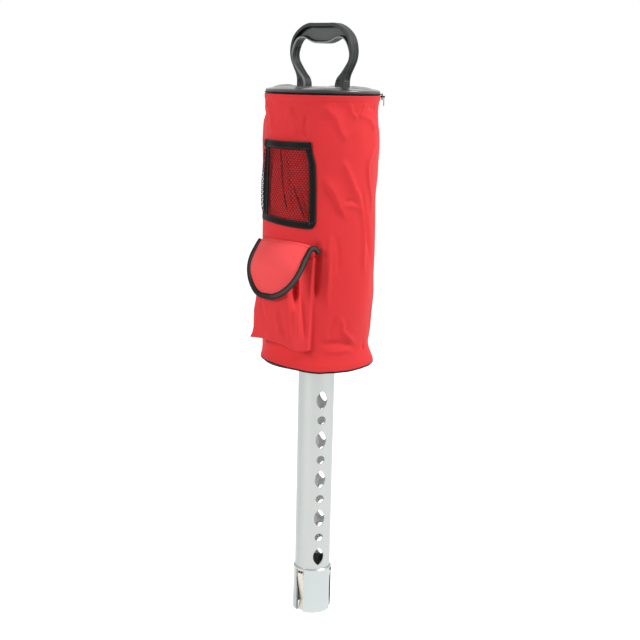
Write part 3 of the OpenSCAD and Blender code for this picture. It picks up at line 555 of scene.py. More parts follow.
class StageSettings(bpy.types.PropertyGroup):
    """Floor, lights and camera."""
    floor_colour: colour_setting("Floor", "the floor", (0.86, 0.86, 0.86))
    ambient: FloatProperty(
        name="Sky light", description="Strength of the even light from all round",
        min=0, max=2, default=0.31)
    key: FloatProperty(
        name="Key light", description="Power of the large lamp at the front left",
        unit="POWER", min=0, max=200, default=23)
    fill: FloatProperty(
        name="Side light", description="Power of the lamp at the right",
        unit="POWER", min=0, max=200, default=58)


def cloth():
    """The cloth's settings."""
    return bpy.context.scene.bag_cloth


def trim():
    """The settings of tapes, net and zip."""
    return bpy.context.scene.bag_trim


def hard():
    """The settings of lid, handle and metal."""
    return bpy.context.scene.bag_hard


# ---- the bag's face ----
# Slack profile of the cloth at its leanest side and at the side across: height over the origin and radius
LEAN_SIDE = np.array([
    (365, 76.9), (372, 76.6), (376, 74.6), (381, 72.6), (387, 70.6), (394, 69.6), (408, 70.6),
    (422, 71.1), (436, 72), (450, 73.4), (464, 74.3), (492, 75.1), (520, 75.6), (547, 75),
    (567, 74.6), (587, 74.2), (601, 74.3), (627, 74.6), (641, 75.1), (654, 76), (667, 76.2),
    (680, 75.8), (694, 74.2), (707, 73.6), (712, 74), (716, 75), (720, 75.4), (726, 77.1)])
FULL_SIDE = np.array([
    (365, 77), (371, 77), (376, 76.2), (381, 75.4), (391, 75.4), (419, 76), (447, 76.6), (502, 77),
    (540, 77.2), (580, 77.2), (611, 77), (624, 76.6), (664, 77), (677, 76.4), (703, 76.4),
    (714, 76.4), (720, 76.6), (726, 77.1)])
LEAN_ANGLE = 118  # where the leanest side is
# Droop of the bag's lower rim: angle, and how far the rim stands over the base's own plane
DROOP = np.array([
    (-100, 0), (-70, 1.5), (-40, 4), (-21, 4.2), (-10, 3.6), (-2, 3.2), (6, 2.2), (13, 1.5), (20, 1.0),
    (26, 0), (32, -1.3), (40, -2.4), (50, -1.7), (56, -1.4), (77, -1.2), (94, 0), (120, 0)])
DROOP_REACH = 26  # how far up the cloth the droop is felt
# Folds of the cloth: height of the crest, or depth of the crease where negative, its reach to the left
# and to the right as one goes down it, and the angle and height of the points it passes
FOLDS = (
    (1.2, 4, 8, (67, 719), (69.5, 712), (70, 706), (73, 701), (79, 696)),
    (1.7, 15, 13, (40, 714), (46, 706), (53, 699), (56, 692), (62, 684)),
    (1.3, 10, 8, (54, 693), (58, 682), (62, 674), (62, 665)),
    (1.5, 8, 8, (92, 698), (98, 693), (102, 687), (106, 678)),
    (1.1, 8, 6, (76, 702), (88, 699), (97, 695)),
    (-1.2, 6, 7, (92, 711), (100, 710), (110, 709)),
    (1.7, 9, 7, (111, 670), (104, 657), (99, 649), (95, 642), (94, 634), (95, 622), (98, 609), (102, 596),
     (105, 582), (109, 565)),
    (2.0, 14, 6, (41, 627), (45, 618), (48, 611), (52, 604), (56, 593), (59, 584), (64, 573), (68, 562)),
    (2.0, 10, 13, (58, 648), (63, 640), (68, 627), (72, 616), (75, 604), (77, 592)),
    (-1.0, 5, 5, (64, 591), (72, 591), (80, 590)),
    (0.9, 7, 7, (60, 586), (72, 585), (80, 582), (88, 576)),
    (1.6, 8, 9, (70, 630), (74, 616), (80, 600), (84, 588), (87, 576), (90, 562), (91, 540), (91, 515),
     (93, 497), (98, 483)),
    (-1.4, 10, 7, (79, 615), (87, 600), (89, 587), (92, 572), (94, 560), (97, 543), (101, 522), (107, 504)),
    (1.9, 7, 6, (47, 554), (50, 542), (50, 520), (50, 495), (49, 470), (50, 440)),
    (-5.6, 7, 10, (38.5, 543), (38.5, 525), (38, 500), (37, 458)),
    (-1.0, 8, 6, (52, 553), (57, 543), (58.5, 530), (60, 512), (60, 486)),
    (-1.2, 7, 6, (60, 442), (57, 430), (54, 420), (52, 407)),
    (1.8, 7, 10, (61, 443), (65, 435), (67.5, 428), (68, 418), (73, 412), (80, 405), (88, 399)),
    (-1.6, 9, 7, (38, 401), (55, 402), (68, 401), (78, 398), (90, 391)),
    (1.0, 6, 6, (44, 392), (60, 391), (74, 391), (86, 388)),
    (-1.3, 5, 7, (103, 398), (102, 391), (104, 384)),
    (1.4, 8, 9, (-30, 708), (-24, 698), (-20.5, 690), (-18, 680), (-17, 670)),
    (1.9, 8, 14, (2, 715), (7, 706), (10, 697), (13, 689), (14.5, 680), (15, 670)),
    (-1.6, 9, 8, (25, 706), (24, 692), (22.5, 683), (25, 674), (29, 667)),
    (-1.0, 4, 4, (-33, 719), (-34, 712), (-33, 706)),
    (-0.9, 4, 4, (-19, 720), (-20, 713), (-18, 707)),
    (1.0, 4, 4, (-30, 718), (-31, 711), (-30, 706)),
    (0.9, 5, 5, (88, 719), (85, 708), (80, 703)),
    (1.2, 9, 12, (-60, 712), (-50, 680), (-45, 640), (-43, 600)),
    (-1.1, 12, 9, (-76, 690), (-69, 640), (-58, 560)),
    (1.0, 12, 8, (-64, 560), (-70, 500), (-72, 430)),
    (1.0, 7, 10, (-58, 430), (-66, 405), (-78, 386)),
    (1.1, 14, 10, (-96, 715), (-92, 670), (-84, 600), (-82, 540)),
    (-1.0, 9, 13, (-122, 660), (-106, 610), (-97, 540)),
    (1.2, 13, 9, (-104, 590), (-112, 520), (-124, 450)),
    (1.0, 9, 13, (-94, 460), (-106, 420), (-120, 384)),
    (1.1, 12, 9, (-146, 712), (-138, 668), (-128, 610)),
    (-1.1, 11, 14, (-158, 640), (-142, 580), (-132, 500)),
    (1.0, 9, 12, (-138, 530), (-146, 460), (-150, 400)),
    (0.9, 14, 9, (-172, 600), (-163, 530), (-158, 450)),
    (1.3, 10, 14, (174, 690), (160, 620), (150, 560)),
    (-1.0, 9, 12, (-178, 712), (172, 676), (164, 630)),
    (1.1, 11, 14, (142, 712), (135, 660), (132, 590)),
    (-1.1, 12, 9, (132, 590), (141, 530), (150, 460)),
    (1.0, 9, 13, (164, 510), (154, 450), (144, 392)),
    (0.9, 11, 8, (-175, 470), (-172, 420), (-164, 384)),
    (0.9, 11, 8, (128, 490), (123, 435), (125, 386)),
    (-0.9, 8, 8, (176, 402), (160, 393), (146, 386)),
)


def smooth_table(table, at, reach=4.0):
    """A table's value, averaged over a short reach to round its corners."""
    steps = np.linspace(-reach, reach, 7)
    return sum(np.interp(at + s, table[:, 0], table[:, 1]) for s in steps) / len(steps)


def turned(angle):
    """An angle brought between -180 and 180."""
    return (angle + 180) % 360 - 180


def fold_relief(across, z, folds, unroll=DEGREE):
    """Folds of the cloth: each follows a bent line in the unrolled cloth. Across the line the height falls
    off as the square of what is left of the fold's reach, so its crest is an edge; it fades at both ends.
    Across is an angle, or millimetres where unroll is 1."""
    total = np.zeros(np.broadcast(across, z).shape)
    for height, left, right, *spots in folds:
        spots = np.array(spots, float)
        runs = np.diff(spots, axis=0) * (unroll, 1)
        lengths = np.hypot(*runs.T)
        whole, passed = lengths.sum(), 0.0
        best, shape = np.full(total.shape, 1e9), np.zeros(total.shape)
        for (a0, z0), run, length in zip(spots, runs / lengths[:, None], lengths):
            x, y = turned(across - a0) * unroll, z - z0
            along = np.clip(x * run[0] + y * run[1], 0, length)
            gap = np.hypot(x - along * run[0], y - along * run[1])
            reach = np.where(x * run[1] - y * run[0] > 0, right, left)
            share = (passed + along) / whole
            ends = eased(share / 0.3) * eased((1 - share) / 0.3)
            soft = np.hypot(gap, 0.7) - 0.7
            profile = np.clip(1 - soft / reach, 0, 1) ** 2 * ends
            shape = np.where(gap < best, profile, shape)
            best = np.minimum(best, gap)
            passed += length
        total += height * shape
    return total


def ripple(angle, z):
    """Slow waves of the cloth: a few sines of fixed directions and phases, under a third of a millimetre."""
    a = np.radians(angle)
    return (0.30 * np.sin(5 * a + z / 31) * np.sin(z / 47 + 1.3) + 0.22 * np.sin(9 * a - z / 23 + 0.7)
            + 0.16 * np.sin(14 * a + z / 17 + 2.1) * np.sin(z / 29))


def droop(angle, z=BASE_Z):
    """How far the drooping rim lifts or lowers the cloth: wholly at the base, and eased to 0 above it."""
    return smooth_table(DROOP, turned(angle), 6.0) * eased((BASE_Z + DROOP_REACH - z) / DROOP_REACH)


def cloth_radius(angle, z):
    """Radius of the cloth's face: the slack profile turns from full to lean round the bag, the folds
    and ripples are added, and both fade out at the zip, at the base and under the front pockets."""
    lean = 0.5 + 0.5 * np.cos(np.radians(angle - LEAN_ANGLE))
    side = smooth_table(FULL_SIDE, z) * (1 - lean) + smooth_table(LEAN_SIDE, z) * lean
    free = eased((HEM_Z - 3 - z) / 10) * eased((z - BASE_Z - 8) / 12)
    behind = 1 - eased((37 - np.abs(turned(angle))) / 6) * eased((676 - z) / 8)
    relief = fold_relief(angle, z, FOLDS) * cloth().fold_height + ripple(angle, z)
    return side + relief * free * behind


def seat(angle, z, lift):
    """A point over the cloth's face."""
    return around(cloth_radius(angle, z) + lift, angle, z)


HEM_ROW, BASE_ROW = 5.9, 5  # how far the rows of stitches run from the hem and from the base
HUB_R = 25.3  # radius of the base cloth's opening


class BALLBAG_OT_cloth(bpy.types.Operator):
    """Bag cloth: a tube of cloth with folds, a turned hem at the zip and a seam at the base"""
    bl_idname = "ballbag.cloth"
    bl_label = "Bag cloth"

    def execute(self, context):
        # The cloth's radius over angle and height, a hem raised by eased steps at its top and its bottom,
        # then a lip at the zip, the inside and the lower rim
        wall = cloth().wall / MM
        angle = np.linspace(0, 360, 301)
        rise = HEM_Z - BASE_Z
        steps = np.linspace(0, 8, 6), np.linspace(9.5, rise - 11, 205), rise - np.linspace(9.6, 0.7, 10)
        z = BASE_Z + np.concatenate(steps)[:, None]
        hem = 0.35 * eased((z - HEM_Z + 7.6) / 0.9) * eased((HEM_Z + 0.6 - z) / 1.4)
        hem = hem + 0.55 * eased((BASE_Z + 4.2 - z) / 0.9) * eased((z - BASE_Z - 0.4) / 1.2)
        radius = cloth_radius(angle, z) + hem
        height = z + droop(angle, z)
        lip = np.stack([around(radius[-1] - inward, angle, HEM_Z - down)
                        for inward, down in ((0.3, 0.15), (wall, 0), (wall + 0.6, 0.3))])
        inside = np.r_[0:len(z) - 1:4, len(z) - 1][::-1]
        inner = around((radius - wall)[inside], angle, height[inside])
        rim = around(radius[:1] - wall / 2, angle, height[:1] - 0.2)
        points = np.concatenate([rim, around(radius, angle, height), lip, inner, rim])
        run = np.concatenate([z[:1] - 1, z, HEM_Z + np.array([[0], [0.5], [1]]), 2 * HEM_Z - z[inside],
                              2 * HEM_Z - z[:1] + 1])
        red = cloth_finish("bag_cloth", cloth().colour)
        bag = Piece().grid(points, joined(angle * DEGREE, run))
        bag.make("bag_cloth", red, slot="red_cloth", replaces=("bag_body",))
        thread = moulded_finish("red_thread", cloth().colour, 0.6)
        rows = []
        for up in (HEM_Z - HEM_ROW, BASE_Z + BASE_ROW):
            path = seat(angle, up, 0.2)
            path[:, 2] += droop(angle, up)
            rows.append((path, around(1.0, angle, 0.0)))
        stitches("bag_stitches", rows, thread, "red_cloth")
        return {"FINISHED"}


class BALLBAG_OT_base(bpy.types.Operator):
    """Base: coated cloth under the board, with a piped edge"""
    bl_idname = "ballbag.base"
    bl_label = "Base"

    def execute(self, context):
        # Two rings, one over the other: the lower one sags by half a sine and ripples round the hub
        low, high = span("base_panel")
        edge = high[0] + 1.0
        r = np.linspace(HUB_R, edge, 40)
        angle = np.linspace(0, 360, 145)[:, None]
        swell = np.sin(np.pi * (r - HUB_R) / (edge - HUB_R))
        tilt = droop(angle) * eased((r - 73.2) / 3)
        sag = (0.35 - 0.12 * np.sin(np.radians(angle) * 7)) * swell
        under, over = (around(r, angle, z + tilt) for z in (low[2] - sag, high[2]))
        piece = Piece().grid(under, under[..., :2], flip=True).grid(over, under[..., :2])
        for column in (0, -1):
            piece.grid(np.stack([under[:, column], over[:, column]]), flip=column == 0)
        coated = vinyl_finish("base_cloth", (0.01, 0.011, 0.011), skirt=1.0)
        piece.make("base_cloth", coated, slot="base_cloth", replaces=("base_panel",))
        tape = tape_finish("base_tape", trim().tape_colour, 0.0012)
        low, high = span("base_piping")
        a = np.radians(RIM_TURN)
        wave = 0.12 * np.sin(a * 23) + 0.1 * np.sin(a * 9 + 1)
        middle = (low[2] + high[2]) / 2 - 0.5 + wave + droop(RIM_TURN)
        radius = cloth_radius(RIM_TURN, BASE_Z + 2) - 0.35
        rolled_edge("base_edge", tape, "base_piping", radius, middle, wide=1.35, high=1.45)
        return {"FINISHED"}


# Creases of the lid: from x, y to x, y, half width, and height or negative depth
LID_CREASES = (
    (-40, -6, -70, -22, 5, 1.0), (-40, 18, -60, 42, 8, -0.9), (-20, -20, -52, -52, 7, 0.9),
    (-8, 22, -20, 66, 7, 0.9), (12, -18, 4, -64, 8, -0.8), (24, 18, 38, 60, 6, 1.1),
    (40, 4, 70, 22, 5, -0.9), (38, -12, 62, -38, 6, 1.0), (-64, -34, -34, -66, 5, -0.8))
CREASE_UNIT = 0.0013  # setting of the creases' height at which the table is true
LID_FLAT = 40.0  # radius inside which the lid is flat
LID_COLS = 216  # faces round the lid
# Painted sheen on the lid's two sides:
LID_PAINTED_SHEEN = 190  # how fast the lid pales towards its two sides, for each square metre
FOOT_NEAR, FOOT_FAR, FOOT_HALF = 24, 42, 9  # reach of the handle's feet in x, and half of it in y


def lid_relief(x, y):
    """Creases that run out from the handle's feet: each is a straight bell-shaped ridge."""
    total = 0.25 * np.sin(x / 13 + y / 21) + 0.2 * np.sin(y / 11 - x / 27 + 1)
    for x0, y0, x1, y1, width, height in LID_CREASES:
        length = math.hypot(x1 - x0, y1 - y0)
        run = (x1 - x0) / length, (y1 - y0) / length
        along = ((x - x0) * run[0] + (y - y0) * run[1]) / length
        across = (x - x0) * run[1] - (y - y0) * run[0]
        ends = eased((along + 0.1) / 0.4) * eased((1.1 - along) / 0.4)
        total = total + height * np.exp(-(across / width) ** 2) * ends
    return total


class BALLBAG_OT_lid(bpy.types.Operator):
    """Lid: a creased dome of coated cloth, its side, and the piping round its edge"""
    bl_idname = "ballbag.lid"
    bl_label = "Lid"

    def execute(self, context):
        # A flat middle that turns down as an ellipse, the creases where no foot presses, then the side
        r = np.concatenate([np.linspace(0, 44, 30), np.linspace(45.5, LID_R - 0.6, 26)])
        angle = np.linspace(0, 360, LID_COLS + 1)[:, None]
        rise = SOLE_Z - SKIRT_Z - 4.6
        drop = rise * (1 - np.sqrt(1 - np.clip((r - LID_FLAT) / (LID_R - LID_FLAT), 0, 1) ** 2 * 0.94))
        x, y = r * np.sin(np.radians(angle)), -r * np.cos(np.radians(angle))
        off_x = np.maximum(np.abs(x) - FOOT_FAR, 0) + np.maximum(FOOT_NEAR - np.abs(x), 0)
        free = eased(np.hypot(off_x, np.maximum(np.abs(y) - FOOT_HALF, 0)) / 8)
        give = free * eased((LID_R - 1 - r) / 10)
        slack = lid_relief(x, y) * give * hard().lid_crease / CREASE_UNIT - 0.5 * free
        # Over the socket's flange the cloth lies on it, so there it can't sink
        flange = 0.1 + 6 * eased((r - 46.5) / 7)
        slack = (slack - flange + np.hypot(slack + flange, 0.15)) / 2
        dome = around(r, angle, SOLE_Z - drop + slack)
        edge = SOLE_Z - rise
        side = [(LID_R - 0.15, edge + 0.35), (LID_R, edge - 0.5), (LID_R, SKIRT_Z + 0.5),
                (LID_R - 0.5, SKIRT_Z), (LID_R - 1.1, SKIRT_Z + 0.3), (LID_R - 1.1, edge - 0.6),
                (LID_R - 2.2, edge + 0.2)]
        under = dome[:, ::-1] - (0, 0, 1.0)
        points = np.concatenate([dome, lathe(side, LID_COLS)[0], under[:, 2:]], 1)
        # The lid's coated cloth, with a painted sheen on its two sides
        coated = vinyl_finish("lid_cloth", hard().lid_colour, edge * MM, LID_PAINTED_SHEEN)
        lid = Piece().grid(points, points[..., :2])
        lid.make("lid_cloth", coated, slot="lid_vinyl", replaces=("lid_panel",))
        tape = tape_finish("lid_edge", (0.006, 0.006, 0.006), 0.001, 0.05)
        middle = span("lid_piping")[0][2] + 1.0 + 0.1 * np.sin(np.radians(RIM_TURN) * 17)
        rolled_edge("lid_edge", tape, "lid_piping", LID_R + 0.35, middle, wide=0.95, high=0.95)
        return {"FINISHED"}


ZIP_GAP = 34.0  # half of the stretch without teeth at the back, in degrees
COIL_R = 0.9  # half of the coil's depth


class BALLBAG_OT_zip(bpy.types.Operator):
    """Zip: two woven tapes and a coil of teeth round the rim"""
    bl_idname = "ballbag.zip"
    bl_label = "Zip"

    def execute(self, context):
        # Tapes are a chamfered strip turned round the axis. The coil is a squared tube round it, whose
        # section swells once and slants both ways with every tooth
        tape = tape_finish("zip_tape", (0.008, 0.008, 0.008), 0.0008)
        for node in ("zip_tape_upper", "zip_tape_lower"):
            low, high = span(node)
            outer, inner = high[0], high[0] - 0.7
            section = [(inner, low[2]), (outer - 0.1, low[2]), (outer, low[2] + 0.2), (outer, high[2] - 0.2),
                       (outer - 0.1, high[2]), (inner, high[2]), (inner, low[2])]
            woven = Piece().grid(*lathe(section), flip=True)
            woven.make(node + "_cloth", tape, slot="zip_tape", replaces=(node,))
        low, high = span("zip_teeth")
        sweep = 360 - 2 * ZIP_GAP
        count = int(round(math.radians(sweep) * high[0] / (trim().tooth_pitch / MM)))
        turns = np.linspace(0, count, count * 8 + 1)[:, None]
        a = np.linspace(0, 2 * np.pi, 13)
        bulge = 0.72 + 0.28 * np.abs(np.sin(np.pi * turns))
        slant = 0.25 * np.sin(2 * np.pi * turns)
        r = high[0] - COIL_R + COIL_R * bulge * signed_power(np.cos(a), 0.7)
        half = (high[2] - low[2]) / 2
        z = low[2] + half + half * bulge * signed_power(np.sin(a), 0.7) + slant * np.cos(a)
        points = capped(around(r, ZIP_GAP - 180 + sweep * turns / count, z))
        chart = joined(np.arange(len(points))[:, None] * 0.2, a)
        plastic = moulded_finish("zip_coil", (0.006, 0.006, 0.006), 0.5, gloss=0.1)
        coil = Piece().grid(points, chart, flip=True)
        coil.make("zip_coil", plastic, slot="zip_plastic", replaces=("zip_teeth",))
        return {"FINISHED"}


# ---- mesh pocket ----
NET_W, NET_H = 97.0, 110.0  # the unrolled net's width and height
NET_TAPE = 9.5  # width of its tapes
NET_DEEP = 0.84  # depth of its cords
SEWN_LIFT, EDGE_LIFT = 1.52, 2.5  # how high the stitches lie on the sewn tapes and on the open edge's
# Pleats of the net, written as the bag's folds are
NET_FOLDS = (
    (3.0, 6, 5, (4.5, 664), (9.2, 626), (14, 582)), (2.6, 5, 5, (18, 620), (24.7, 592), (31, 569)),
    (2.0, 6, 6, (-8, 650), (-10, 610), (-12, 570)))
# Gathers, where the net is doubled: shares across and up of their two ends, and how wide they spread
GATHERS = ((0.53, 0.92, 0.60, 0.44, 0.95), (0.60, 0.44, 0.645, 0.2, 0.55), (0.72, 0.5, 0.86, 0.12, 0.7))


def net_point(s, u, lift):
    """A point of the mesh pocket: s runs across and u up, both from 0 to 1. Its front, right of the left
    tape, bellies out by a product of two sines; left of that tape a narrow side bulges in the same way."""
    left = np.interp(u, (0, 0.55, 0.8, 1), (37.0, 37.0, 34.6, 31.4))
    right = np.interp(u, (0, 0.28, 0.5, 0.63, 0.75, 0.84, 0.93, 1),
                      (36.3, 36.2, 35.9, 35.4, 34.7, 32.6, 30.6, 29.6))
    z = NET_Z + NET_H * u + (3.0 - 5.5 * eased(s)) * (1 - u)
    front = np.sin(np.pi * np.clip((s - 0.19) / 0.71, 0, 1))
    side = np.sin(np.pi * np.clip(s / 0.13, 0, 1))
    above = np.clip((u - 0.085) / 0.915, 0, 1)
    rise = np.sin(np.pi * above**0.6) ** 0.7
    belly = (7 * front + 4.8 * side) * rise + 1.5 * front * above
    return seat(s * right - (1 - s) * left, z, 0.35 + belly + lift)


def tape_strip(flat, width, thick, over=0.0):
    """A strip of tape along a path in the unrolled net, in millimetres: a flat section with round edges."""
    ahead = unit(np.gradient(flat, axis=0))
    side = np.stack([ahead[:, 1], -ahead[:, 0]], -1) * width / 2
    a = np.linspace(0, 2 * np.pi, 25)
    c, lift = signed_power(np.cos(a), 0.35), signed_power(np.sin(a), 0.45)
    spots = flat[:, None] + side[:, None] * c[:, None]
    wave = 0.1 * np.sin(np.linspace(0, 29, len(flat)))[:, None] * np.cos(a)
    raised = over + thick / 2 * (1 + lift) + 0.25 * (1 - c**2) * (lift > 0) + wave
    walls = net_point(spots[..., 0] / NET_W, np.clip(spots[..., 1] / NET_H, -0.1, 1.1), raised)
    return capped(walls), joined(c * width / 2, np.pad(length_along(flat), 1, "edge")[:, None])


class BALLBAG_OT_net(bpy.types.Operator):
    """Mesh pocket: a knitted net with pleats"""
    bl_idname = "ballbag.net"
    bl_label = "Net"

    def execute(self, context):
        # Six-sided openings share their corners, each with a smaller hexagon inside it for its hole. The
        # cords between are faced in front and behind, and are wider at the left
        cell = trim().net_cell / MM
        row = cell * 0.74
        margin = 3.5
        cols = int((NET_W - 2 * margin) / cell)
        rows = int((NET_H - 2 * margin) / row)
        line, corner = np.meshgrid(np.arange(rows + 1), np.arange(2 * cols + 2), indexing="ij")
        zig = np.where((line + corner) % 2 == 1, -1, 1) * row * 0.22
        flat = joined(corner * cell / 2 + (NET_W - (cols + 0.5) * cell) / 2, line * row + margin + zig)
        r, c = np.meshgrid(np.arange(rows), np.arange(cols), indexing="ij")
        steps = ((0, 0), (0, 1), (0, 2), (1, 2), (1, 1), (1, 0))
        ring = np.stack([joined(r + up, 2 * c + r % 2 + right) for up, right in steps], -2).reshape(-1, 6, 2)
        shared = ring[..., 0] * (2 * cols + 2) + ring[..., 1]
        corners = flat[ring[..., 0], ring[..., 1]]
        flat = flat.reshape(-1, 2)
        centre = corners.mean(1, keepdims=True)
        thick = 1 + 1.4 * eased((0.16 - centre[..., :1] / NET_W) / 0.04)
        holes = centre + (corners - centre) * (1 - trim().net_cord / MM / cell * thick)
        every = np.concatenate([flat, holes.reshape(-1, 2)])
        first, total = len(flat), len(every)
        s, u = every[:, 0] / NET_W, every[:, 1] / NET_H
        on_bag = net_point(s, u, 0.0)
        angle = np.degrees(np.arctan2(on_bag[:, 0], -on_bag[:, 1]))
        raised = 0.55 + fold_relief(angle, on_bag[:, 2], NET_FOLDS)
        half = np.where(np.arange(total) < first, NET_DEEP / 2, 0.0)
        points = np.concatenate([net_point(s, u, raised + half), net_point(s, u, raised - half)[:first]])
        inner = first + np.arange(len(holes) * 6).reshape(-1, 6)
        after = np.roll(np.arange(6), -1)
        front_faces = np.stack([shared, inner, inner[:, after], shared[:, after]], -1).reshape(-1, 4)
        back = shared + total
        back_faces = np.stack([back, back[:, after], inner[:, after], inner], -1).reshape(-1, 4)
        sides = np.stack([shared, shared[:, after]], -1).reshape(-1, 2)
        _, which, times = np.unique(np.sort(sides, 1), axis=0, return_inverse=True, return_counts=True)
        rim = sides[times[which.ravel()] == 1]
        rim_faces = np.concatenate([rim, rim[:, ::-1] + total], 1)
        faces = np.concatenate([front_faces, back_faces, rim_faces])[:, ::-1]
        piece = Piece().add(points, faces, np.concatenate([every, flat])[faces])
        for s0, u0, s1, u1, wide in GATHERS:
            k = np.linspace(0, 1, 60)
            arch = np.sin(np.pi * k)
            for aside in (-1, 0, 1):
                spread = (aside * 0.014 + 0.006 * np.sin(k * 60 + aside * 2)) * np.maximum(arch, 0) ** 0.5
                middle = net_point(s0 + (s1 - s0) * k + spread * wide, u0 + (u1 - u0) * k, 3.4 + 0.2 * aside)
                piece.grid(*tube(middle, 0.17 * (1 + arch), (0, -1, 0), 6))
        net = tape_finish("net_cord", trim().net_colour, 0.0006, 0.05)
        piece.make("net", net, slot="net_cord", replaces=("mesh_panel",))
        return {"FINISHED"}


class BALLBAG_OT_net_tapes(bpy.types.Operator):
    """Tapes round the net: one along its open edge and three sewn down on the bag"""
    bl_idname = "ballbag.net_tapes"
    bl_label = "Net tapes"

    def execute(self, context):
        # Each tape follows a line of the unrolled net: down, a quarter circle and across, upright, or over
        tape = tape_finish("net_tape", trim().tape_colour, 0.0011)
        turn, foot, left, right = 5.5, NET_TAPE / 2, 14.0, NET_W - NET_TAPE / 2
        bend = np.radians(np.linspace(0, 90, 7))[1:-1]
        corner = joined(np.cos(bend), -np.sin(bend)) * turn + (right - turn, foot + turn)
        down = joined(right, np.linspace(NET_H - 4, foot + turn, 50))
        across = joined(np.linspace(right - turn, 0.5, 80), foot)
        outline = np.concatenate([down, corner, across])
        sewn = Piece().grid(*tape_strip(outline, NET_TAPE, thick=1.3), flip=True)
        upright = joined(left, np.linspace(2, NET_H - 3, 60))
        sewn.grid(*tape_strip(upright, NET_TAPE - 1, thick=1.2, over=-0.1), flip=True)
        sewn.make("net_frame", tape, slot="black_tape", replaces=("mesh_binding_frame",))
        edge = joined(np.linspace(NET_W, 0, 80), NET_H - 5)
        top = Piece().grid(*tape_strip(edge, NET_TAPE, thick=1.9, over=0.4), flip=True)
        top.make("net_top", tape, slot="black_tape", replaces=("mesh_binding_top",))
        thread = moulded_finish("black_thread", (0.03, 0.032, 0.032), 0.5)
        inset, rows = 1.2, []
        marks = np.linspace(0.05, 0.95, 120)
        uprights = (left - foot + inset, left + foot - inset, NET_W - inset, NET_W - NET_TAPE + inset)
        edges = (inset, NET_TAPE - inset)
        for x, y, lift in ([(x, marks * (NET_H - 12) + 2, SEWN_LIFT) for x in uprights]
                           + [(marks * NET_W, y, SEWN_LIFT) for y in edges]
                           + [(marks * NET_W, NET_H - y, EDGE_LIFT) for y in edges]):
            path = net_point(x / NET_W, y / NET_H, lift)
            rows.append((path, unit(path * (1, 1, 0))))
        stitches("net_stitches", rows, thread, "black_tape")
        return {"FINISHED"}


# ---- flap pocket ----
SEAM_HALF = 46.0  # half of the way between the pocket's two seams on the bag
POCKET_RUN, POCKET_DROP, POCKET_SOLE = 141, 105, 22  # its cloth from seam to seam, down, and back
MOUTH_BACK, MOUTH_FRONT = 154, 137  # its mouth over the base, at the seams and in front
CORNER_X, CORNER_R = 27.5, 8.6  # its front corners
# Its floor: x, and height over the base
POCKET_FLOOR = np.array([
    (-46, 34), (-38, 37), (-34, 39.5), (-28, 40.3), (-12, 41.7), (3, 41.2), (17, 39.6), (26, 37.6),
    (30, 35.6), (34, 33.2), (38.5, 29.2), (42, 28), (46, 28.4)])
POCKET_WELTS = ((0.4, 1.8), (0.35, 6))  # the two welts beside each seam: height, and way from the seam
# How far its left front corner leans to the side: height over the origin, and lean
POCKET_LEAN = np.array([
    (400, 5), (405, 5), (411, 2.4), (419, 0.9), (430, 0.8), (442, 0), (457, -3), (480, -5), (520, -6)])
# Creases of the pocket, written as the bag's folds are, but with millimetres from its left seam
POCKET_FOLDS = (
    (-2.2, 8, 6, (107, 525), (105, 480), (105, 455), (106, 438), (108, 420), (106, 399)),
    (1.5, 6, 9, (117, 512), (116, 465), (117, 437), (121, 400)),
    (-1.8, 6, 5, (121, 478), (125, 442), (131, 402)),
    (-1.8, 7, 7, (34, 525), (34, 470), (33, 430), (34, 400)), (2.0, 7, 7, (25, 480), (27, 440), (22, 404)),
    (-1.5, 6, 8, (86, 458), (94, 430), (101, 404)), (1.2, 7, 6, (79, 452), (86, 428), (90, 408)),
    (-1.4, 7, 7, (52, 464), (58, 444), (66, 424)), (1.2, 6, 6, (48, 442), (43, 424), (40, 407)),
    (-1.2, 4, 4, (62, 414), (60, 406), (58, 400)), (1.0, 5, 5, (74, 420), (73, 410), (74, 400)),
)
# Hollow behind its right front corner, written as the creases are
POCKET_HOLLOW = (
    (15, 10, 9, (111.5, 545), (111, 500), (110, 446)), (5, 15, 14, (109, 545), (108, 500), (106, 450)))


def pocket_outline(count):
    """The pocket from above, from its left seam to its right: a parabola in front, an arc at each corner
    and a straight gusset to each seam, softened by averaging neighbours."""
    x = np.linspace(-27, 27, 25)
    front = joined(x, x**2 / (2 * FRONT_ARC) - POCKET_Y)
    turn = np.radians(np.linspace(-78, -12, 10))
    middle = (CORNER_X, CORNER_X**2 / (2 * FRONT_ARC) - POCKET_Y + CORNER_R)
    right = joined(np.cos(turn), np.sin(turn)) * CORNER_R + middle
    seam = np.array([[SEAM_HALF, -math.sqrt(BAG_R**2 - SEAM_HALF**2)]])
    right = np.concatenate([right, right[-1] + (seam - right[-1]) * np.linspace(0.15, 1, 12)[:, None]])
    soft = even(np.concatenate([right[::-1] * (-1, 1), front, right]), 0.5)
    for _ in range(12):
        soft[1:-1] = soft[1:-1] * 0.5 + (soft[:-2] + soft[2:]) * 0.25
    return even(soft, POCKET_RUN / count)[: count + 1]


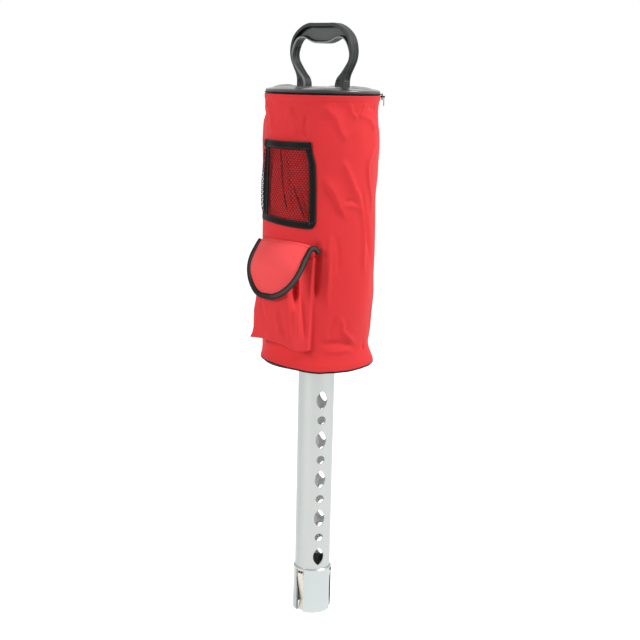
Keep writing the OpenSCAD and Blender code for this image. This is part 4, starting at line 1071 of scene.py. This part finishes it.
class BALLBAG_OT_pocket(bpy.types.Operator):
    """Flap pocket: gusseted cloth with a raised seam at each front corner, a floor and a hemmed mouth"""
    bl_idname = "ballbag.pocket"
    bl_label = "Pocket"

    def execute(self, context):
        # The outline is carried from mouth to floor, t along it and b down it. It is pushed out by a sine
        # belly, the creases and the seams' welts, drawn in at the gussets, and meets the bag at the seams
        plan = pocket_outline(170)
        cols = len(plan)
        tangent = unit(np.gradient(plan, axis=0))
        out = np.stack([tangent[:, 1], -tangent[:, 0]], -1)
        t = np.linspace(0, 1, cols)
        seam_y = -plan[0, 1]
        depth = np.clip((-plan[:, 1] - seam_y) / (POCKET_Y - seam_y), 0, 1)
        mouth = BASE_Z + MOUTH_BACK + (MOUTH_FRONT - MOUTH_BACK) * depth
        floor = BASE_Z + np.interp(plan[:, 0], *POCKET_FLOOR.T)
        b = np.concatenate([np.linspace(0, 0.93, 66), np.linspace(0.935, 1, 12)])[:, None]
        z = mouth + (floor - mouth) * b
        seam = np.minimum(t, 1 - t)
        welt = sum(high * np.exp(-((seam * POCKET_RUN - at) / 0.8) ** 2) for high, at in POCKET_WELTS)
        belly = 0.9 * np.sin(np.pi * b) * (1 - eased((0.21 - seam) / 0.1))
        fall = np.sin(np.pi * np.clip(seam / 0.215, 0, 1))
        pleat = -(0.5 + 12 * (1 - b) ** 2.2) * np.maximum(fall, 0) ** 1.2
        creases = fold_relief(t * POCKET_RUN, z, POCKET_FOLDS, 1)
        tuck = 1.6 * (1 - np.sqrt(1 - np.clip((b - 0.982) / 0.018, 0, 1) ** 2 * 0.98))
        hem = 0.4 * eased((0.085 - b) / 0.012)
        push = (belly + pleat + creases - tuck) * eased(seam / 0.05) + hem + welt
        lean = np.interp(z, *POCKET_LEAN.T) * np.exp(-((t - 0.235) / 0.06) ** 2)
        hollow = fold_relief(t * POCKET_RUN, z, POCKET_HOLLOW, 1)
        x, y = (plan[:, k] + out[:, k] * push - lean * QUARTER_RIGHT[k] + hollow * QUARTER_DEEP[k]
                for k in (0, 1))
        angle = np.degrees(np.arctan2(x, -y)) + (1.6 - 4.2 * b) * eased((t - 0.75) / 0.22)
        on_bag = cloth_radius(angle, z) + 0.4
        sewn = eased((0.045 - seam) / 0.035)
        walls = around(np.maximum(np.hypot(x, y), on_bag) * (1 - sewn) + on_bag * sewn, angle, z)
        back = seat(np.linspace(angle[-1, 0], angle[-1, -1], cols), floor + 1.0, 0.4)
        share = np.linspace(0, 1, 16)[1:, None, None]
        points = np.concatenate([walls, walls[-1] * (1 - share) + back * share])
        run = np.concatenate([b[:, 0] * POCKET_DROP, POCKET_DROP + np.linspace(0, POCKET_SOLE, 15)])
        red = cloth_finish("pocket_cloth", cloth().pocket_colour)
        pocket = Piece().grid(points, joined(t * POCKET_RUN, run[:, None]), flip=True)
        made = pocket.make("pocket_cloth", red, slot="red_cloth", replaces=("pocket_shell",))
        wall = made.modifiers.new("wall", "SOLIDIFY")
        wall.thickness, wall.offset = cloth().wall, -1
        thread = moulded_finish("pocket_thread", tint(cloth().colour, -0.15), 0.6)
        drop = np.interp(7.2 / (mouth - floor), b[:, 0], np.arange(len(b)))
        row, part, column = drop.astype(int), (drop % 1)[:, None], np.arange(cols)
        face = -normals(walls)[row, column]
        line = walls[row, column] * (1 - part) + walls[row + 1, column] * part + 0.3 * face
        stitches("pocket_stitches", [(line[8:-8], face[8:-8])], thread, "red_cloth")
        return {"FINISHED"}


FLAP_HALF, FLAP_FRONT = 45.4, 101.45  # half width, and how far out its front stands
FLAP_TOP, FLAP_LOW = 537.2, 466.0  # heights of its seam and of its round end
FLAP_DROP = 95  # its cloth from the seam to the round end
FLAP_END = 0.985  # share of that drop where the cloth stops inside the edge tape
# The right end of the edge tape, turned in under the cloth at the seam
FLAP_EAR = ((50.6, -61.6, 524.3), (49.9, -63.4, 527.6), (48.5, -66.2, 530.3), (46.8, -69.2, 531.0))


def flap_half(b):
    """Half width of the flap at share b of its drop: straight sides, then a near ellipse to its round end."""
    return FLAP_HALF * np.sqrt(np.maximum(1 - (np.maximum(b - 0.36, 0) / 0.64) ** 1.7, 0))


def flap_point(a, b, lift):
    """A point of the flap: a runs from -1 to 1 across it and b from 0 to 1 down it. It leaves the seam
    on the bag, comes out over the pocket on a quarter sine that is longer at the sides, and lies on the
    pocket's curved front. At both ends of the seam the cloth stands off the bag as an ear."""
    x = a * flap_half(b)
    seam = np.sqrt(np.maximum((BAG_R + 0.6) ** 2 - x**2, 1))
    front = FLAP_FRONT - x**2 / (2 * FRONT_ARC)
    reach = 0.46 + 0.26 * np.abs(a) ** 3
    ear = 0.2 * np.abs(a) ** 8
    quarter = np.pi / 2 * np.minimum(b / reach, 1)
    out = ear + (1 - ear) * np.sin(quarter)
    y = seam + (front - seam) * out + 3 * (np.maximum(b - 0.6, 0) / 0.4) ** 1.5
    top = FLAP_TOP - 4.7 * np.abs(a) ** 2.2
    slope = np.arctan2(np.cos(quarter) * (front - seam) / reach * np.pi / 2, FLAP_TOP - FLAP_LOW)
    return joined(x, -y - lift * np.cos(slope), top + (FLAP_LOW - top) * b + lift * np.sin(slope))


def bend_at_flap_seam(piece):
    """Bakes the piece's place into its own mesh."""
    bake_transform(piece)


class BALLBAG_OT_flap(bpy.types.Operator):
    """Flap: lined cloth that is sewn to the bag along its top, with a rounded tape round its edge"""
    bl_idname = "ballbag.flap"
    bl_label = "Flap"

    def execute(self, context):
        # Two layers of flap points, the outer one puffed up and waved by sines, and a squared tube round it
        a = np.linspace(-1, 1, 81)
        b = np.linspace(0, FLAP_END, 76)[:, None]
        x = a * flap_half(b)
        puff = 0.9 * (1 - np.abs(a) ** 6) * eased(b / 0.12) * (1 - b**6)
        wave = 0.3 * np.sin(x / 15 + b * 5) * np.sin(b * 6) + 0.25 * np.sin(x / 8 - b * 9 + 1) * b
        outer, inner = flap_point(a, b, 1.7 + puff + wave), flap_point(a, b, 0.1 + wave * 0.3)
        red = cloth_finish("flap_cloth", cloth().flap_colour)
        flap = slab(outer, inner, joined(x, b * FLAP_DROP), flip=True)
        bend_at_flap_seam(flap.make("flap_cloth", red, None, "flap_cloth", ("pocket_flap",)))
        marks = np.linspace(0.06, FLAP_END, 60)
        right = np.concatenate([FLAP_EAR, flap_point(1.0, marks, 2.5 - 1.5 * eased((0.3 - marks) / 0.24))])
        path = np.concatenate([right, right[::-1] * (-1, 1, 1)])
        path = even(smooth_curve(even(path, 4.0), 200), 1.2)
        # The flap's tape gets a painted highlight along its crown
        tape = tape_finish("flap_tape", trim().tape_colour, 0.0009, gloss=0.1, painted_highlight=(0.075, 0.077, 0.07))
        edge = Piece().grid(*tube(path, 3.8, (0, 1, 0), 20, squash=0.75, square=0.9))
        bend_at_flap_seam(edge.make("flap_edge", tape, None, "black_tape", ("flap_binding",)))
        seam = flap_point(np.linspace(-0.97, 0.97, 90), 0.035, 2.3)
        thread = moulded_finish("flap_thread", tint(cloth().flap_colour, -0.15), 0.6)
        out = np.broadcast_to((0, -0.8, 0.6), seam.shape)
        bend_at_flap_seam(stitches("flap_stitches", [(seam, out)], thread, "flap_cloth", None))
        return {"FINISHED"}


class BALLBAG_OT_patches(bpy.types.Operator):
    """Hook and loop patches under the flap and on the pocket"""
    bl_idname = "ballbag.patches"
    bl_label = "Patches"

    def execute(self, context):
        # A slab that follows the pocket's curved front, with a fine waved nap on its outer side
        nap = fluff_finish("patch_nap", (0.02, 0.02, 0.02))
        for node, body in (("hook_patch", "flap"), ("loop_patch", "root")):
            low, high = span(node)
            x = np.linspace(low[0], high[0], 30)
            z = np.linspace(low[2], high[2], 17)[:, None]
            y = low[1] + x**2 / (2 * FRONT_ARC)
            rough = 0.08 * np.sin(x * 5.1) * np.sin(z * 4.7)
            outer, inner = joined(x, y + 0.05 + rough, z), joined(x, y + 0.95, z)
            slab(outer, inner).make(node + "_nap", nap, body, "patch_black", (node,))
        return {"FINISHED"}


# ---- handle ----
# Stations from the middle of the grip down to the right foot: outside and inside, over the sole
HANDLE_OUT = (
    (0, 81.9), (11, 81.9), (22, 81.7), (33.2, 77.8), (43.4, 70.5), (50, 61.3), (53.1, 48),
    (51.6, 35.8), (46.3, 24.4), (42.2, 16), (40.4, 9.6), (40.2, 4), (40.2, 0))
HANDLE_IN = (
    (0, 55.6), (10, 55.9), (18, 58.1), (28.5, 62.3), (38, 60.9), (44.3, 53.6), (48.2, 42.5),
    (47.3, 34), (42.0, 26.2), (34.5, 17.6), (28.6, 11.4), (25.8, 4.6), (25.6, 0))
WEB_TOP, WEB_LOW, WEB_DEEP = 4.4, 2.6, 7.2  # the grip web's rims above and below it, and how deep it lies
DISH_X, DISH_Z, DISH_R, DISH_DEEP = 33, 6, 3.6, 1.7  # the dimple on each foot
FRONT_COLS = 34  # points across the handle's front
FOOT_RINGS = 3  # rings that close each foot's sole


class BALLBAG_OT_handle(bpy.types.Operator):
    """Handle: rounded moulding whose section is carried along the stations, with a sunk grip web"""
    bl_idname = "ballbag.handle"
    bl_label = "Handle"

    def execute(self, context):
        # A section goes from the inner station to the outer, u along it and y through it: front, rounded
        # edge, grooved inner side, edge, back, edge, grooved outer side, edge
        out, inn = (smooth_curve(stations, 181) for stations in (HANDLE_OUT, HANDLE_IN))
        out, inn = (np.concatenate([half[::-1], half[1:] * (-1, 1)]) for half in (out, inn))
        rows = len(out)
        long = np.linalg.norm(out - inn, axis=1)[:, None]
        way = (out - inn) / long
        low, high = span("handle")
        half = (high[1] - low[1]) / 2
        r = np.minimum(hard().handle_round / MM, long * 0.3)
        share = np.abs(np.linspace(-1, 1, rows))[:, None]
        u_front = long - r - (long - 2 * r) * np.linspace(0, 1, FRONT_COLS)
        grip = eased((0.55 - share) / 0.06)
        web = eased((long - WEB_TOP - u_front) / 2.2) * eased((u_front - WEB_LOW) / 1.3)
        sunk = WEB_DEEP * grip * web * eased((long - 8.5) / 3)
        x_front, z_front = (inn[:, k:k + 1] + way[:, k:k + 1] * u_front for k in (0, 1))
        dish = DISH_DEEP * eased(DISH_R - np.hypot(np.abs(x_front) - DISH_X, z_front - DISH_Z))
        bend = np.radians(np.linspace(0, 90, 6))
        turn_u, turn_y = r * (1 - np.sin(bend)), half - r * (1 - np.cos(bend))
        mid = np.linspace(-1, 1, 33)[1:-1]
        groove = eased((0.78 - np.abs(mid)) / 0.16) * 1.5 - 1.1 * np.exp(-(mid / 0.14) ** 2)
        groove = groove * eased((share - 0.42) / 0.05) * eased((0.88 - share) / 0.05)
        front = (u_front, sunk + dish - half)
        section = (
            front, (turn_u, -turn_y), (groove, mid * (half - r)), (turn_u[:, ::-1], turn_y[:, ::-1]),
            (u_front[:, ::-1], half - sunk[:, ::-1]), (long - turn_u, turn_y),
            (long - groove[:, ::-1], -mid * (half - r)), (long - turn_u[:, ::-1], -turn_y[:, ::-1]))
        u, y = (np.concatenate([part[k] for part in section] + [front[k][:, :1]], 1) for k in (0, 1))
        x, z = (inn[:, k:k + 1] + way[:, k:k + 1] * u for k in (0, 1))
        walls = joined(x, y, np.maximum(z, 0) + SOLE_Z)
        shrunk = np.array([0, 0.5, 0.93])[:, None, None]
        soles = [walls[k].mean(0) + (walls[k] - walls[k].mean(0)) * shrunk for k in (0, -1)]
        points = np.concatenate([soles[0], walls, soles[1][::-1]])
        # The flat pattern's first value marks the web, painted paler; its second a painted highlight along
        # the inner front edge, and below 0 painted shade on the walls round the web
        feet = ((FOOT_RINGS, FOOT_RINGS), (0, 0))
        # Painted reflection: the web is paler
        pale = np.pad(eased((grip * web - 0.9) / 0.08), ((0, 0), (0, u.shape[1] - FRONT_COLS)))
        pale = np.pad(pale, feet, "edge")
        painted_light = np.zeros(pale.shape)
        # Painted highlight along the inner front edge, the grip's lower lip, brightest at the grip
        painted_light[:, FRONT_COLS + 1:FRONT_COLS + 5] = 0.5 + 0.5 * np.pad(grip, feet, "edge")
        # Painted shade on the walls of the web's recess
        painted_light[FOOT_RINGS:-FOOT_RINGS, :FRONT_COLS] = -np.clip(4 * web * (1 - web) * grip, 0, 1)
        handle = Piece().grid(points, joined(pale, painted_light) / MM, flip=True)
        plastic = handle_finish(hard().handle_colour)
        handle.make("handle_moulding", plastic, slot="moulded_black", replaces=("handle",))
        return {"FINISHED"}


class BALLBAG_OT_metal(bpy.types.Operator):
    """Finishes of the tube, collar, springs, screws, rivets, slider and inner mouldings"""
    bl_idname = "ballbag.metal"
    bl_label = "Metal and mouldings"

    def execute(self, context):
        for finish, *nodes in (
                (metal_finish("tube_metal", hard().tube_colour, 0.36, (500, 500, 7), bore=0.0239),
                 "pickup_tube"),
                (metal_finish("collar_metal", hard().collar_colour, 0.24, (12, 12, 900), bore=0.0247),
                 "mouth_collar"),
                (metal_finish("spring_metal", (0.56, 0.53, 0.46), 0.34, (600, 600, 12)),
                 "leaf_spring_1", "leaf_spring_2", "leaf_spring_3"),
                (metal_finish("fastener_metal", (0.42, 0.43, 0.44), 0.3, (80, 80, 80)),
                 "socket_screws", "base_screws", "base_rivets"),
                (metal_finish("dark_steel", (0.05, 0.05, 0.05), 0.4, (90, 90, 90)),
                 "handle_screws", "spring_rivets"),
                (moulded_finish("pull_paint", (0.03, 0.03, 0.03), 0.35, gloss=0.2), "zip_pull"),
                (moulded_finish("slider_paint", (0.004, 0.004, 0.004), 0.45, gloss=0.05), "zip_slider"),
                (moulded_finish("inner_plastic", (0.05, 0.05, 0.05), 0.5, grain=0.00006),
                 "top_socket", "base_ring"),
                (moulded_finish("base_board", (0.06, 0.055, 0.05), 0.7, grain=0.0001), "base_board")):
            finish_nodes(finish, *nodes)
        return {"FINISHED"}


# ---- stage ----
AIM = np.array((0, 0, 0.45))  # what the lamps look at, in metres
LENS, SENSOR = 68.865, 36  # in millimetres, as the floor's sizes are
FLOOR_HALF, FLOOR_Z = 9000, -0.6
CAMERA_TURN, CAMERA_TILT, CAMERA_ROLL = math.radians(40), math.radians(11.572), math.radians(1.326)
CAMERA_SIDE, CAMERA_AWAY, CAMERA_UP = 0.003103, 1.649439, 0.757855  # in metres


def stand(made, place, across, above, back):
    """Puts a lamp or the camera into the scene at its place, with its three axes."""
    axes = Matrix(np.stack([across, above, back], 1).tolist()).to_4x4()
    made.matrix_world = Matrix.Translation(place) @ axes
    bpy.context.scene.collection.objects.link(made)


class BALLBAG_OT_stage(bpy.types.Operator):
    """Stage: pale floor, even sky, two large lamps and the camera"""
    bl_idname = "ballbag.stage"
    bl_label = "Stage"

    @staticmethod
    def lamp(name, power, size, place):
        """A square area lamp that looks at the middle of the bag."""
        data = bpy.data.lights.new(name, "AREA")
        data.energy, data.size = power, size
        back = unit(np.array(place) - AIM)
        right = unit(np.cross((0, 0, 1), back))
        stand(bpy.data.objects.new(name, data), place, right, np.cross(back, right), back)

    def execute(self, context):
        settings = context.scene.bag_stage
        context.scene.view_settings.view_transform = "Standard"
        floor = Finish("floor")
        matt = floor.node("BsdfDiffuse", None, {"Color": (*settings.floor_colour, 1)})
        glow = floor.node("Emission", None, {"Color": (1, 1, 1, 1), "Strength": 0.75})
        both = floor.node("AddShader", None, {0: matt, 1: glow})
        shown = floor.node("MixShader", None, {0: floor.bare_ray(), 1: matt, 2: both})
        floor.node("OutputMaterial", None, {"Surface": shown})
        across = np.linspace(-FLOOR_HALF, FLOOR_HALF, 3)
        ground = Piece().grid(joined(across, across[:, None], FLOOR_Z))
        made = ground.make("floor", floor.material, None)
        sky = Finish("sky", "worlds")
        context.scene.world = sky.material
        strength = sky.bare_ray() * (1 - settings.ambient) + settings.ambient
        back = sky.node("Background", None, {"Color": (1, 1, 1, 1), "Strength": strength})
        sky.node("OutputWorld", None, {"Surface": back})
        self.lamp("key", settings.key, size=0.55, place=(-0.4, -2.05, 1.3))
        self.lamp("fill", settings.fill, size=0.8, place=(1.75, 0.8, 2.2))
        data = bpy.data.cameras.new("camera")
        data.lens, data.sensor_width = LENS, SENSOR
        camera = bpy.data.objects.new("camera", data)
        right = np.array((math.cos(CAMERA_TURN), math.sin(CAMERA_TURN), 0))
        ahead = np.array((-math.sin(CAMERA_TURN), math.cos(CAMERA_TURN), 0))
        place = right * CAMERA_SIDE - ahead * CAMERA_AWAY + (0, 0, CAMERA_UP)
        look = ahead * math.cos(CAMERA_TILT) - (0, 0, math.sin(CAMERA_TILT))
        up = np.cross(right, look)
        roll_cos, roll_sin = math.cos(CAMERA_ROLL), math.sin(CAMERA_ROLL)
        stand(camera, place, right * roll_cos + up * roll_sin, up * roll_cos - right * roll_sin, -look)
        context.scene.camera = camera
        return {"FINISHED"}


STEPS = (
    BALLBAG_OT_stage, BALLBAG_OT_metal, BALLBAG_OT_cloth, BALLBAG_OT_base, BALLBAG_OT_lid, BALLBAG_OT_zip,
    BALLBAG_OT_handle, BALLBAG_OT_net, BALLBAG_OT_net_tapes, BALLBAG_OT_pocket, BALLBAG_OT_flap,
    BALLBAG_OT_patches)
SETTINGS = (("bag_cloth", ClothSettings), ("bag_trim", TrimSettings), ("bag_hard", HardSettings),
            ("bag_stage", StageSettings))


class BALLBAG_PT_panel(bpy.types.Panel):
    """Sidebar panel that lists the settings and the pieces"""
    bl_idname = "BALLBAG_PT_panel"
    bl_label = "Ball pick-up bag"
    bl_space_type = "VIEW_3D"
    bl_region_type = "UI"
    bl_category = "Ball Bag"

    def draw(self, context):
        for key, group in SETTINGS:
            box = self.layout.box()
            for name in group.__annotations__:
                box.prop(getattr(context.scene, key), name)
        for step in STEPS:
            self.layout.operator(step.bl_idname)


def register():
    for group in (*[g for _, g in SETTINGS], *STEPS, BALLBAG_PT_panel):
        bpy.utils.register_class(group)
    for key, group in SETTINGS:
        setattr(bpy.types.Scene, key, PointerProperty(type=group))


def unregister():
    for key, _ in SETTINGS:
        delattr(bpy.types.Scene, key)
    for group in reversed((*[g for _, g in SETTINGS], *STEPS, BALLBAG_PT_panel)):
        bpy.utils.unregister_class(group)


def main():
    register()
    for step in STEPS:
        family, name = step.bl_idname.split(".")
        getattr(getattr(bpy.ops, family), name)()


if __name__ == "__main__":
    main()
